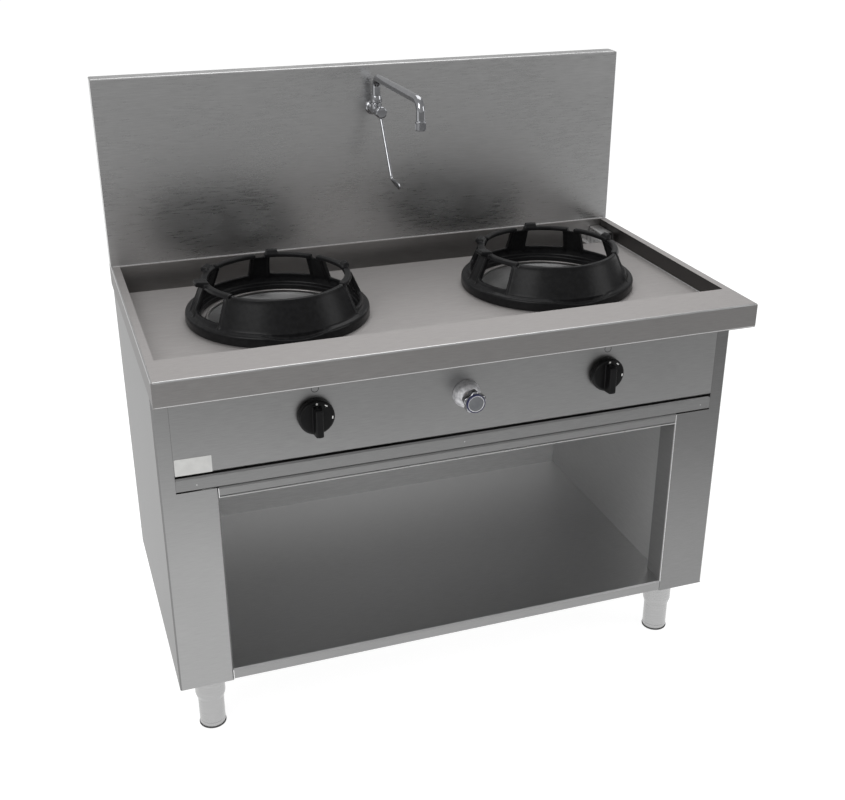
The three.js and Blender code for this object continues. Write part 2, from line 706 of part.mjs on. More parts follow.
/** A block whose long front and side edges at the top are rounded, as a folded sheet's are. */
function roundEdgedBlock(width, front, back, bottom, top, frontBottomRadius) {
  const r = FASCIA_EDGE_RADIUS;
  const section = [[front, bottom], [back, bottom], [back, top], [front, top]];
  const face = [[-width / 2, bottom], [width / 2, bottom], [width / 2, top], [-width / 2, top]];
  const roundFront = rounded(section, [frontBottomRadius, 0, 0, r]);
  const alongX = extrude('x', roundFront, -width / 2, width / 2);
  const alongY = extrude('y', rounded(face, [0, 0, r, r]), front, back);
  return alongX.intersect(alongY);
}

/** The gutter's section over its length: it falls to the right, then runs level at the drain. */
function gutterOutline(grow) {
  return [
    [-PAN_SIDE - grow, PAN_FLOOR],
    [-PAN_SIDE - grow, PAN_FLOOR - GUTTER_DEPTH_LEFT - grow],
    [PAN_SIDE - GUTTER_LANDING, GUTTER_LOW - grow],
    [PAN_SIDE + grow, GUTTER_LOW - grow],
    [PAN_SIDE + grow, PAN_FLOOR],
  ];
}

function makeWorktop() {
  const t = WORKTOP_SHEET;
  const slab = roundEdgedBlock(WIDTH, FRONT, BACK, FASCIA_BOTTOM, WORKTOP_TOP, FASCIA_EDGE_RADIUS);
  const hollow = cut(
    block(
      [-HALF_WIDTH + t, FRONT + t, FASCIA_BOTTOM - OVER],
      [HALF_WIDTH - t, BACK - t, WORKTOP_TOP - t],
    ),
    block([-PAN_SIDE - t, PAN_FRONT - t, PAN_UNDERSIDE], [PAN_SIDE + t, PAN_BACK + t, WORKTOP_TOP]),
  );
  const returnFold = block(
    [-HALF_WIDTH + t / 2, FRONT + t / 2, FASCIA_BOTTOM],
    [HALF_WIDTH - t / 2, FRONT + FASCIA_RETURN, FASCIA_BOTTOM + t],
  );
  const recess = block([-PAN_SIDE, PAN_FRONT, PAN_FLOOR], [PAN_SIDE, PAN_BACK, WORKTOP_TOP + OVER]);
  const trough = extrude('y', gutterOutline(t), GUTTER_FRONT - t, PAN_BACK + t);
  const troughHollow = extrude('y', gutterOutline(0), GUTTER_FRONT, PAN_BACK);
  const throat = block(
    [-PAN_SIDE, GUTTER_FRONT, PAN_FLOOR - OVER],
    [PAN_SIDE, PAN_BACK, PAN_FLOOR + OVER],
  );
  let worktop = cut(slab, hollow, recess);
  worktop = cut(join(worktop, returnFold, trough), troughHollow, throat);
  const collarTop = PAN_FLOOR + BURNER_COLLAR_HEIGHT;
  for (const x of BURNER_XS) {
    const centre = [x, BURNER_Y];
    const collar = bar('z', BURNER_COLLAR_R, centre, PAN_UNDERSIDE, collarTop, FINE);
    const opening = bar('z', BURNER_OPENING_R, centre, PAN_UNDERSIDE - OVER, WORKTOP_TOP, FINE);
    worktop = cut(join(worktop, collar), opening);
  }
  const drainCentre = [DRAIN_X, DRAIN_Y];
  const pipeCentre = [0, WATER_PIPE_Y];
  const pipeR = WATER_PIPE_R + PIPE_HOLE_GAP;
  return cut(
    worktop,
    bar('z', DRAIN_OPENING_R, drainCentre, GUTTER_LOW - t - OVER, GUTTER_LOW + OVER),
    bar('z', pipeR, pipeCentre, WORKTOP_TOP - t - OVER, WORKTOP_TOP + OVER, SMALL),
  );
}

function makeSplashback() {
  const t = SPLASHBACK_SHEET;
  const bottom = WORKTOP_TOP + SEAT_GAP;
  const outer = roundEdgedBlock(WIDTH, SPLASHBACK_FRONT, BACK, bottom, SPLASHBACK_TOP, 0);
  const hollow = block(
    [-HALF_WIDTH + t, SPLASHBACK_FRONT + t, bottom - OVER],
    [HALF_WIDTH - t, BACK - t, SPLASHBACK_TOP - t],
  );
  const openBack = block(
    [-HALF_WIDTH + SPLASHBACK_FLANGE, BACK - t - OVER, bottom - OVER],
    [HALF_WIDTH - SPLASHBACK_FLANGE, BACK + OVER, SPLASHBACK_TOP - SPLASHBACK_FLANGE],
  );
  const through = [SPLASHBACK_FRONT - OVER, SPLASHBACK_FRONT + t + OVER];
  const tapHole = bar('y', TAP_TAIL_R + PIPE_HOLE_GAP, [0, TAP_HEIGHT], ...through);
  return cut(outer, hollow, openBack, tapHole);
}

function makeSplashbackCover() {
  const edge = HALF_WIDTH - SPLASHBACK_SHEET - SEAT_GAP;
  const face = BACK - SPLASHBACK_SHEET - SEAT_GAP;
  const bottom = WORKTOP_TOP + 2 * SEAT_GAP;
  const top = SPLASHBACK_TOP - SPLASHBACK_SHEET - SEAT_GAP;
  const fold = face - BACK_COVER_FOLD;
  const skin = [[fold, bottom], [face, bottom], [face, top], [fold, top]];
  const cover = extrude('x', foldedSheet(skin, PANEL_SHEET), -edge, edge);
  const pipeR = WATER_PIPE_R + PIPE_HOLE_GAP;
  const through = [bottom - OVER, bottom + PANEL_SHEET + OVER];
  return cut(cover, bar('z', pipeR, [0, WATER_PIPE_Y], ...through, SMALL));
}

/** The strainer's holes: a staggered field on the low plate and a row in the riser. */
function strainerHoles(lowStart, riserX, front, back, highTop) {
  const tools = [];
  const rows = Math.floor((back - front - 2 * STRAINER_MARGIN) / STRAINER_PITCH);
  const columns = Math.floor((riserX - lowStart - 2 * STRAINER_MARGIN) / STRAINER_PITCH);
  for (let row = 0; row <= rows; row += 1) {
    const shift = row % 2 ? STRAINER_PITCH / 2 : 0;
    for (let column = 0; column < columns; column += 1) {
      const x = lowStart + STRAINER_MARGIN + STRAINER_HOLE_R + column * STRAINER_PITCH + shift;
      const y = front + STRAINER_MARGIN + row * STRAINER_PITCH;
      tools.push(bar('z', STRAINER_HOLE_R, [x, y], PAN_FLOOR - PIERCE, PAN_FLOOR + PIERCE, TINY));
    }
  }
  const z = highTop - STRAINER_RISER_HOLE_DROP;
  for (let y = front + STRAINER_MARGIN; y < back - STRAINER_MARGIN; y += STRAINER_RISER_PITCH) {
    tools.push(bar('x', STRAINER_HOLE_R, [y, z], riserX - PIERCE, riserX + PIERCE, TINY));
  }
  return tools;
}

function makeStrainer() {
  const right = PAN_SIDE - SEAT_GAP;
  const left = right - STRAINER_LENGTH;
  const riser = right - STRAINER_HIGH_LENGTH;
  const front = GUTTER_FRONT + STRAINER_SIDE_GAP;
  const back = PAN_BACK - STRAINER_SIDE_GAP;
  const foot = GUTTER_LOW + SEAT_GAP;
  const highTop = PAN_FLOOR + STRAINER_STEP;
  // down the right leg, over the high plate, down the riser, over the low plate, down the left leg
  const skin = [
    [right, foot],
    [right, highTop],
    [riser, highTop],
    [riser, PAN_FLOOR],
    [left, PAN_FLOOR],
    [left, foot],
  ];
  const plate = extrude('y', foldedSheet(skin, STRAINER_SHEET), front, back);
  const water = block(
    [left - OVER, front + STRAINER_LEG_SLOT, foot - OVER],
    [left + STRAINER_SHEET + OVER, back - STRAINER_LEG_SLOT, foot + 2 * STRAINER_LEG_SLOT],
  );
  return cut(plate, water, ...strainerHoles(left, riser, front, back, highTop));
}

function makeDrainPipe() {
  const top = GUTTER_LOW - WORKTOP_SHEET - SEAT_GAP;
  const cupR = DRAIN_OPENING_R - CUP_STEP;
  const w = CUP_SHEET;
  const neck = top - CUP_DEPTH - CUP_FUNNEL;
  const cup = revolve('z', [
    [cupR, top],
    [DRAIN_OPENING_R + CUP_FLANGE, top],
    [DRAIN_OPENING_R + CUP_FLANGE, top - w],
    [cupR + w, top - w],
    [cupR + w, top - CUP_DEPTH],
    [DRAIN_PIPE_R, neck],
    [DRAIN_PIPE_R - w, neck],
    [cupR, top - CUP_DEPTH],
  ], [DRAIN_X, DRAIN_Y, 0], SMALL);
  const outletY = CABINET_BACK + PIPE_END_REACH;
  const route = (start, end) => [
    [DRAIN_X, DRAIN_Y, start],
    [DRAIN_X, DRAIN_Y, DRAIN_OUTLET_HEIGHT],
    [DRAIN_X, end, DRAIN_OUTLET_HEIGHT],
  ];
  const outside = pipe(route(neck + w, outletY), DRAIN_PIPE_R, DRAIN_PIPE_BEND);
  const inside = pipe(route(neck + 2 * w, outletY + OVER), DRAIN_PIPE_R - w, DRAIN_PIPE_BEND);
  return join(cut(outside, inside), cup);
}

// ---------------------------------------------------------------- cabinet

/** The right side: one sheet that folds round the front corner into the stile, with flanges. */
function makeSidePanel() {
  const skin = [
    [STILE_EDGE, CABINET_FRONT + STILE_RETURN],
    [STILE_EDGE, CABINET_FRONT],
    [CABINET_SIDE, CABINET_FRONT],
    [CABINET_SIDE, SIDE_BACK],
    [CABINET_SIDE - PANEL_FLANGE, SIDE_BACK],
  ];
  const sheet = extrude('z', foldedSheet(skin, PANEL_SHEET), CABINET_BOTTOM, RIM_UNDERSIDE);
  const controlOpening = block(
    [STILE_EDGE - OVER, CABINET_FRONT - OVER, RAIL_BOTTOM],
    [STRIP_EDGE, CABINET_FRONT + STILE_RETURN + OVER, RIM_UNDERSIDE + OVER],
  );
  const inFront = CABINET_FRONT + PANEL_SHEET / 2;
  const bottomFlange = block(
    [CABINET_SIDE - PANEL_FLANGE, inFront, CABINET_BOTTOM],
    [CABINET_SIDE - PANEL_SHEET / 2, SIDE_BACK - PANEL_SHEET / 2, CABINET_BOTTOM + PANEL_SHEET],
  );
  const stileFlange = block(
    [STILE_EDGE + PANEL_SHEET / 2, inFront, CABINET_BOTTOM],
    [
      CABINET_SIDE - PANEL_FLANGE + OVERLAP,
      CABINET_FRONT + PANEL_FLANGE,
      CABINET_BOTTOM + PANEL_SHEET,
    ],
  );
  const topFlange = block(
    [CABINET_SIDE - TOP_FLANGE, inFront, RIM_UNDERSIDE - PANEL_SHEET],
    [CABINET_SIDE - PANEL_SHEET / 2, SIDE_BACK - PANEL_SHEET / 2, RIM_UNDERSIDE],
  );
  return join(cut(sheet, controlOpening), bottomFlange, stileFlange, topFlange);
}

/** The right inner side, which makes the cupboard's side double-walled. */
function makeInnerSide() {
  const front = CABINET_FRONT + INNER_SIDE_SETBACK;
  const skin = [
    [INNER_SIDE_X + PANEL_FLANGE, SIDE_BACK],
    [INNER_SIDE_X, SIDE_BACK],
    [INNER_SIDE_X, front],
    [INNER_SIDE_X + PANEL_FLANGE, front],
  ];
  const top = RAIL_BOTTOM - PANEL_SHEET - SEAT_GAP;
  return extrude('z', foldedSheet(skin, PANEL_SHEET), SHELF_TOP + SEAT_GAP, top);
}

function makeRearPanel() {
  const bottom = CABINET_BOTTOM + SEAT_GAP;
  const edge = CABINET_SIDE - SEAT_GAP;
  const foldFront = CABINET_BACK - TOP_FLANGE;
  const skin = [[CABINET_BACK, bottom], [CABINET_BACK, RIM_UNDERSIDE], [foldFront, RIM_UNDERSIDE]];
  let panel = extrude('x', foldedSheet(skin, PANEL_SHEET), -edge, edge);
  const clearX = CABINET_SIDE - PANEL_FLANGE - FLANGE_GAP;
  for (const side of [-1, 1]) {
    const ends = [side * clearX, side * (edge + OVER)].sort((a, b) => a - b);
    panel = cut(panel, block(
      [ends[0], foldFront - OVER, RIM_UNDERSIDE - 2 * BEND_RADIUS - PANEL_SHEET],
      [ends[1], CABINET_BACK - PANEL_SHEET, RIM_UNDERSIDE + OVER],
    ));
  }
  const through = [CABINET_BACK - PANEL_SHEET - OVER, CABINET_BACK + OVER];
  const topRow = WORKTOP_TOP - REAR_AIR_HOLE_DROP;
  for (const x of BURNER_XS) {
    for (let row = 0; row < AIR_HOLE_ROWS; row += 1) {
      const outline = slotOutline(AIR_HOLE_LENGTH, AIR_HOLE_WIDTH, x, topRow - row * AIR_HOLE_PITCH);
      panel = cut(panel, extrude('y', outline, ...through));
    }
  }
  const waterR = WATER_PIPE_R + PIPE_HOLE_GAP;
  return cut(
    panel,
    bar('y', MANIFOLD_R + PIPE_HOLE_GAP, [MANIFOLD_TURN_X, CONTROL_HEIGHT], ...through),
    bar('y', DRAIN_PIPE_R + PIPE_HOLE_GAP, [DRAIN_X, DRAIN_OUTLET_HEIGHT], ...through),
    bar('y', waterR, [WATER_INLET_X, WATER_PIPE_HEIGHT], ...through, SMALL),
    bar('z', waterR, [0, WATER_PIPE_Y], RIM_UNDERSIDE - PANEL_SHEET - OVER, RIM_UNDERSIDE + OVER, SMALL),
  );
}

function makeControlPanel() {
  const edge = STRIP_EDGE - SEAT_GAP;
  const skin = [
    [PAN_FRONT - WORKTOP_SHEET - CONTROL_PANEL_TOP_GAP, RIM_UNDERSIDE],
    [CABINET_FRONT, RIM_UNDERSIDE],
    [CABINET_FRONT, CONTROL_PANEL_BOTTOM],
    [CABINET_FRONT + PANEL_FLANGE, CONTROL_PANEL_BOTTOM],
  ];
  const through = [CABINET_FRONT - OVER, CABINET_FRONT + PANEL_SHEET + OVER];
  const pierced = (x, radius) => {
    return bar('y', radius + SPINDLE_HOLE_GAP, [x, CONTROL_HEIGHT], ...through, SMALL);
  };
  const knobHoles = KNOB_XS.map((x) => pierced(x, SPINDLE_R));
  const valveHole = pierced(CONTROL_MIDDLE_X, VALVE_SPINDLE_R);
  const sheet = extrude('x', foldedSheet(skin, PANEL_SHEET), -edge, edge);
  return cut(sheet, valveHole, ...knobHoles);
}

function makeFrontRail() {
  const edge = STRIP_EDGE - SEAT_GAP;
  const bottom = RAIL_BOTTOM + SEAT_GAP;
  const skin = [
    [CABINET_FRONT + RAIL_RETURN, RAIL_TOP],
    [CABINET_FRONT, RAIL_TOP],
    [CABINET_FRONT, bottom],
    [CABINET_FRONT + PANEL_FLANGE, bottom],
  ];
  return extrude('x', foldedSheet(skin, PANEL_SHEET), -edge, edge);
}

/** The sheet between the burners and the cupboard, with a lip below the front rail. */
function makeCeiling() {
  const back = SIDE_BACK - PANEL_SHEET - BEND_RADIUS;
  const edge = STILE_EDGE - SEAT_GAP;
  const lipBottom = RAIL_BOTTOM - CEILING_LIP;
  const skin = [
    [back, RAIL_BOTTOM],
    [CABINET_FRONT, RAIL_BOTTOM],
    [CABINET_FRONT, lipBottom],
    [CABINET_FRONT + CEILING_HEM, lipBottom],
  ];
  const wide = block(
    [-SIDE_INNER + SEAT_GAP, BEHIND_STILE, RAIL_BOTTOM - PANEL_SHEET],
    [SIDE_INNER - SEAT_GAP, back, RAIL_BOTTOM],
  );
  let ceiling = join(extrude('x', foldedSheet(skin, PANEL_SHEET), -edge, edge), wide);
  const through = [RAIL_BOTTOM - PANEL_SHEET - OVER, RAIL_BOTTOM + OVER];
  for (const x of BURNER_XS) {
    for (let row = 0; row < AIR_HOLE_ROWS; row += 1) {
      const y = CABINET_FRONT + CEILING_AIR_HOLE_SETBACK - row * AIR_HOLE_PITCH;
      const outline = slotOutline(AIR_HOLE_LENGTH, AIR_HOLE_WIDTH, x, y);
      ceiling = cut(ceiling, extrude('z', outline, ...through));
    }
  }
  return cut(ceiling, bar('z', DRAIN_PIPE_R + PIPE_HOLE_GAP, [DRAIN_X, DRAIN_Y], ...through));
}

/** The shelf, with a lip between the stiles and a stiffening channel across its underside. */
function makeShelf() {
  const edge = STILE_EDGE - SEAT_GAP;
  const skin = [
    [SIDE_BACK, SHELF_TOP],
    [CABINET_FRONT, SHELF_TOP],
    [CABINET_FRONT, SHELF_TOP - SHELF_LIP],
    [CABINET_FRONT + PANEL_FLANGE, SHELF_TOP - SHELF_LIP],
  ];
  const wide = block(
    [-CHANNEL_OUTER, BEHIND_STILE, SHELF_TOP - PANEL_SHEET],
    [CHANNEL_OUTER, SIDE_BACK, SHELF_TOP],
  );
  const underside = SHELF_TOP - PANEL_SHEET / 2;
  const half = SHELF_STIFFENER_WIDTH / 2;
  const stiffenerSkin = [
    [-half, underside],
    [-half, underside - SHELF_STIFFENER_DEPTH],
    [half, underside - SHELF_STIFFENER_DEPTH],
    [half, underside],
  ];
  const reach = CHANNEL_INNER - SHELF_STIFFENER_END_GAP;
  const stiffener = extrude('x', foldedSheet(stiffenerSkin, PANEL_SHEET), -reach, reach);
  const sheet = extrude('x', foldedSheet(skin, PANEL_SHEET), -edge, edge);
  return join(sheet, wide, stiffener);
}

/** The right base channel, which closes the double wall below and carries two feet. */
function makeBaseChannel() {
  const skin = [
    [CHANNEL_INNER, CHANNEL_TOP],
    [CHANNEL_INNER, CABINET_BOTTOM],
    [CHANNEL_OUTER, CABINET_BOTTOM],
    [CHANNEL_OUTER, CHANNEL_TOP],
  ];
  const front = CABINET_FRONT + PANEL_FLANGE + FLANGE_GAP;
  const back = SIDE_BACK - PANEL_SHEET - SEAT_GAP;
  return extrude('y', foldedSheet(skin, BASE_CHANNEL_SHEET), front, back);
}

/** A channel under the pan, from side to side. */
function makeBearer(front) {
  const top = PAN_UNDERSIDE - SEAT_GAP;
  const back = front + BEARER_WIDTH;
  const skin = [[back, top - BEARER_DEPTH], [back, top], [front, top], [front, top - BEARER_DEPTH]];
  const edge = SIDE_INNER - SEAT_GAP;
  return extrude('x', foldedSheet(skin, BASE_CHANNEL_SHEET), -edge, edge);
}

// ---------------------------------------------------------------- feet

function makeFootSleeve(x, y) {
  const top = CABINET_BOTTOM - SEAT_GAP;
  const nose = CABINET_BOTTOM - FOOT_SLEEVE_LENGTH;
  const end = nose - FOOT_NOSE_LENGTH;
  const boreR = FOOT_STEM_R + RUNNING_GAP;
  const crown = top - FOOT_SLEEVE_WALL;
  return revolve('z', [
    [0, top],
    [FOOT_SLEEVE_R, top],
    [FOOT_SLEEVE_R, nose],
    [boreR + FOOT_NOSE_WALL, end],
    [boreR, end],
    [boreR, crown],
    [0, crown],
  ], [x, y, 0]);
}

function makeFootStem(x, y) {
  const top = CABINET_BOTTOM - FOOT_SLEEVE_WALL - 2 * SEAT_GAP;
  const bottom = FOOT_PAD_HEIGHT + SEAT_GAP;
  const innerR = FOOT_STEM_R - FOOT_STEM_WALL;
  const profile = [[innerR, bottom], [FOOT_STEM_R, bottom], [FOOT_STEM_R, top], [innerR, top]];
  return revolve('z', profile, [x, y, 0]);
}

function makeFootPad(x, y) {
  const chamfer = FOOT_PAD_HEIGHT / 4;
  const profile = [
    [0, 0],
    [FOOT_PAD_R - chamfer, 0],
    [FOOT_PAD_R, chamfer],
    [FOOT_PAD_R, FOOT_PAD_HEIGHT],
    [0, FOOT_PAD_HEIGHT],
  ];
  return revolve('z', profile, [x, y, 0]);
}

// ---------------------------------------------------------------- wok rings

/** Radius of the cone's outside at a height above the pan floor. */
function coneRadius(height) {
  const slope = (RING_CONE_TOP_R - RING_CONE_FOOT_R) / (RING_HEIGHT - RING_CONE_FOOT_HEIGHT);
  return RING_CONE_FOOT_R + slope * (height - RING_CONE_FOOT_HEIGHT);
}

/** A rib down the cone, proud of it inside and out. */
function ringRib(angle) {
  const bottom = RING_CONE_FOOT_HEIGHT - RING_RIB_ROOT;
  const top = RING_HEIGHT - RING_BAR_HEIGHT;
  const outline = [
    [coneRadius(bottom) + RING_RIB_PROUD, bottom],
    [coneRadius(top) + RING_RIB_PROUD, top],
    [coneRadius(top) - RING_WALL - RING_RIB_PROUD, top],
    [coneRadius(bottom) - RING_WALL - RING_RIB_PROUD, bottom],
  ];
  return radialPlate(outline, RING_RIB_WIDTH, angle);
}

/** A lug that stands on the rim and leans out over it. */
function ringLug({ from, to, reach }) {
  const low = RING_HEIGHT - RING_BAR_HEIGHT + RING_LUG_ROOT;
  const high = RING_HEIGHT + RING_LUG_RISE;
  const tip = RING_BAR_OUTER_R + reach;
  const inner = RING_BAR_INNER_R + RING_LUG_SET_IN;
  const outline = [
    [inner, low],
    [RING_BAR_OUTER_R, low],
    [tip, high - RING_LUG_THICKNESS],
    [tip, high - RING_LUG_BEVEL],
    [tip - RING_LUG_BEVEL, high],
    [inner, high - RING_LUG_FALL],
  ];
  const width = radians(to - from) * RING_BAR_OUTER_R;
  return radialPlate(outline, width, (from + to) / 2);
}

/** What is scooped out of the foot in front of the shield: a shallow arc, outside the cone. */
function ringDip() {
  const half = RING_DIP_WIDTH / 2;
  const radius = (half * half + RING_DIP_DEPTH * RING_DIP_DEPTH) / (2 * RING_DIP_DEPTH);
  const centre = RING_FOOT_HEIGHT - RING_DIP_DEPTH + radius;
  const above = RING_CONE_FOOT_HEIGHT + OVER;
  const sweep = Math.acos((centre - above) / radius);
  const steps = 2 * ARC_STEPS;
  const outline = [];
  for (let k = 0; k <= steps; k += 1) {
    const angle = sweep * ((2 * k) / steps - 1);
    outline.push([radius * Math.sin(angle), centre - radius * Math.cos(angle)]);
  }
  const scoop = extrude('y', outline, -RING_FOOT_R - PIERCE, -RING_LIP_R);
  const coneR = RING_CONE_FOOT_R + RING_DIP_SET_OUT;
  return cut(scoop, bar('z', coneR, [0, 0], 0, above + OVER, FINE));
}

/** One cast ring, about the origin, standing on Z = 0. */
function makeWokRing() {
  const ledgeR = RING_FOOT_R - RING_FOOT_ROUND;
  const ledge = RING_FOOT_HEIGHT - RING_FOOT_ROUND;
  const round = [Math.PI / 4, Math.PI / 2].map((angle) => {
    const [across, up] = [Math.cos(angle), Math.sin(angle)].map((part) => part * RING_FOOT_ROUND);
    return [ledgeR + across, ledge + up];
  });
  const barBottom = RING_HEIGHT - RING_BAR_HEIGHT;
  const profile = [
    [RING_LIP_R, 0],
    [RING_FOOT_R, 0],
    [RING_FOOT_R, ledge],
    ...round,
    [RING_CONE_FOOT_R, RING_CONE_FOOT_HEIGHT],
    [coneRadius(barBottom), barBottom],
    [RING_BAR_OUTER_R, RING_HEIGHT],
    [RING_BAR_INNER_R, RING_HEIGHT],
    [RING_BAR_INNER_R, barBottom],
    [coneRadius(barBottom) - RING_WALL, barBottom],
    [RING_CONE_FOOT_R - RING_WALL, RING_CONE_FOOT_HEIGHT],
    [RING_CONE_FOOT_R - RING_WALL - RING_LIP_STEP, RING_LIP_HEIGHT],
    [RING_LIP_R, RING_LIP_HEIGHT],
  ];
  const shell = revolve('z', profile, [0, 0, 0], FINE);
  const inside = RING_BAR_INNER_R - RING_TOOL_DEPTH;
  const outside = RING_FOOT_R + PIERCE;
  const above = RING_HEIGHT + PIERCE;
  const slice = (span, bottom, top) => sector(inside, outside, ...span, bottom, top);
  const windows = RING_WINDOWS.map((span) => slice(span, RING_WINDOW_BOTTOM, barBottom));
  const notches = RING_NOTCHES.map((span) => slice(span, barBottom, above));
  const shieldInner = coneRadius(RING_HEIGHT) - RING_WALL;
  const shieldInside = sector(inside, shieldInner, ...RING_SHIELD, barBottom - OVER, above);
  const shieldTop = slice(RING_SHIELD, RING_HEIGHT - RING_SHIELD_DROP, above);
  const half = THREE.MathUtils.radToDeg(RING_RIB_WIDTH / 2 / RING_BAR_OUTER_R);
  const ribs = RING_WINDOWS.flatMap(([from, to]) => [ringRib(from - half), ringRib(to + half)]);
  const open = cut(shell, ...windows, ...notches, shieldInside, shieldTop);
  return cut(join(open, ...ribs, ...RING_LUGS.map(ringLug)), ringDip());
}

// ---------------------------------------------------------------- burners

/** The spun bowl under the opening: a flange, a wide cone and a pot round the burner. */
function makeWell(x) {
  const t = WELL_SHEET;
  const throatZ = WELL_TOP - WELL_CONE_DEPTH;
  const profile = [
    [WELL_MOUTH_R, WELL_TOP],
    [WELL_FLANGE_R, WELL_TOP],
    [WELL_FLANGE_R, WELL_TOP - t],
    [WELL_MOUTH_R + t, WELL_TOP - t],
    [WELL_THROAT_R + t, throatZ - t],
    [WELL_BOTTOM_R + t, WELL_BOTTOM],
    [WELL_HOLE_R, WELL_BOTTOM],
    [WELL_HOLE_R, WELL_BOTTOM + t],
    [WELL_BOTTOM_R, WELL_BOTTOM + t],
    [WELL_THROAT_R, throatZ],
  ];
  return revolve('z', profile, [x, BURNER_Y, 0], MEDIUM);
}

/** The holes that the flames leave by, square to the head's bevelled edge. */
function burnerPorts(x, bevelTop) {
  const middleR = BURNER_HEAD_R - BURNER_CHAMFER / 2;
  const ports = [];
  for (let k = 0; k < BURNER_PORTS; k += 1) {
    const tool = new THREE.CylinderGeometry(BURNER_PORT_R, BURNER_PORT_R, 2 * BURNER_PORT_DEPTH, TINY);
    tool.rotateZ(-Math.PI / 4);
    tool.translate(middleR, bevelTop - BURNER_CHAMFER / 2, 0);
    tool.rotateX(Math.PI / 2);
    tool.rotateZ((2 * Math.PI * (k + 0.5)) / BURNER_PORTS);
    ports.push(moved(tool, x, BURNER_Y, 0));
  }
  return ports;
}

/** One cast burner: ported head, stem through the well, and the mixing tube towards the front. */
function makeBurner(x) {
  const seat = BURNER_SEAT;
  const neckTop = seat + BURNER_SHOULDER + BURNER_NECK;
  const headTop = neckTop + BURNER_HEAD_HEIGHT;
  const bevel = headTop - BURNER_CHAMFER;
  const dish = BURNER_CHAMFER / 2;
  const head = revolve('z', [
    [0, seat],
    [BURNER_SHOULDER_R, seat],
    [BURNER_SHOULDER_R, seat + BURNER_SHOULDER],
    [BURNER_NECK_R, seat + BURNER_SHOULDER],
    [BURNER_NECK_R, neckTop - BURNER_CHAMFER],
    [BURNER_HEAD_R, neckTop],
    [BURNER_HEAD_R, bevel],
    [BURNER_HEAD_R - BURNER_CHAMFER, headTop],
    [BURNER_CROWN_R - BURNER_CHAMFER, headTop],
    [0, headTop - dish],
  ], [x, BURNER_Y, 0]);
  const stem = bar('z', BURNER_STEM_R, [x, BURNER_Y], VENTURI_Z - VENTURI_R, seat + OVERLAP);
  const mouthBack = VENTURI_FRONT + VENTURI_MOUTH_LENGTH;
  const tube = revolve('y', [
    [0, BURNER_Y],
    [VENTURI_R, BURNER_Y],
    [VENTURI_R, mouthBack + VENTURI_MOUTH_LENGTH],
    [VENTURI_MOUTH_R, mouthBack],
    [VENTURI_MOUTH_R, VENTURI_FRONT],
    [0, VENTURI_FRONT],
  ], [x, 0, VENTURI_Z]);
  const boreStart = VENTURI_FRONT + VENTURI_END;
  const bore = bar('y', VENTURI_BORE_R, [x, VENTURI_Z], boreStart, boreStart + VENTURI_BORE_LENGTH);
  const injectorR = INJECTOR_R + SEAT_GAP;
  const end = [VENTURI_FRONT - OVER, boreStart + OVER];
  const injectorHole = bar('y', injectorR, [x, VENTURI_Z], ...end, SMALL);
  const shutterFront = boreStart + AIR_SHUTTER_SETBACK;
  const reach = VENTURI_MOUTH_R + OVER;
  const half = AIR_SHUTTER_HEIGHT / 2;
  const shutter = block(
    [x - reach, shutterFront, VENTURI_Z - half],
    [x + reach, shutterFront + AIR_SHUTTER_LENGTH, VENTURI_Z + half],
  );
  return cut(join(head, stem, tube), bore, injectorHole, shutter, ...burnerPorts(x, headTop));
}

// ---------------------------------------------------------------- gas taps, knobs and pipes

function makeManifold() {
  const startX = KNOB_XS[0] - MANIFOLD_LEFT_END;
  const end = CABINET_BACK + PIPE_END_REACH;
  const route = (start, past) => [
    [start, MANIFOLD_Y, CONTROL_HEIGHT],
    [MANIFOLD_TURN_X, MANIFOLD_Y, CONTROL_HEIGHT],
    [MANIFOLD_TURN_X, end + past, CONTROL_HEIGHT],
  ];
  const boreR = MANIFOLD_R - MANIFOLD_WALL;
  const bore = pipe(route(startX + 2 * MANIFOLD_WALL, OVER), boreR, PIPE_BEND, TINY);
  return cut(pipe(route(startX, 0), MANIFOLD_R, PIPE_BEND), bore);
}

function makeGasTap(x) {
  const shoulder = BEHIND_PANEL + GAS_TAP_NECK;
  const body = revolve('y', [
    [0, BEHIND_PANEL],
    [GAS_TAP_NECK_R, BEHIND_PANEL],
    [GAS_TAP_NECK_R, shoulder],
    [GAS_TAP_BODY_R, shoulder],
    [GAS_TAP_BODY_R, GAS_TAP_BACK],
    [GAS_TAP_SADDLE_R, GAS_TAP_BACK],
    [GAS_TAP_SADDLE_R, MANIFOLD_Y],
    [0, MANIFOLD_Y],
  ], [x, 0, CONTROL_HEIGHT], SMALL);
  const outletEnd = CONTROL_HEIGHT - GAS_TAP_OUTLET_DROP;
  const outletTop = CONTROL_HEIGHT - TAP_PLUG_R - GAS_TAP_WALL;
  const outlet = bar('z', GAS_TAP_OUTLET_R, [x, GAS_TAP_OUTLET_Y], outletEnd, outletTop, SMALL);
  const manifoldAxis = [MANIFOLD_Y, CONTROL_HEIGHT];
  const width = [x - GAS_TAP_BODY_R - OVER, x + GAS_TAP_BODY_R + OVER];
  const saddle = bar('x', MANIFOLD_R + SEAT_GAP, manifoldAxis, ...width, SMALL);
  const boreFrontR = (TAP_PLUG_R + RUNNING_GAP) / Math.cos(Math.PI / SMALL);
  const bore = revolve('y', [
    [0, BEHIND_PANEL - OVER],
    [boreFrontR, BEHIND_PANEL - OVER],
    [boreFrontR, PLUG_FRONT],
    [boreFrontR - TAP_PLUG_TAPER, PLUG_BACK],
    [boreFrontR - TAP_PLUG_TAPER, PLUG_BACK + SEAT_GAP],
    [0, PLUG_BACK + SEAT_GAP],
  ], [x, 0, CONTROL_HEIGHT], SMALL);
  return cut(join(body, outlet), saddle, bore);
}

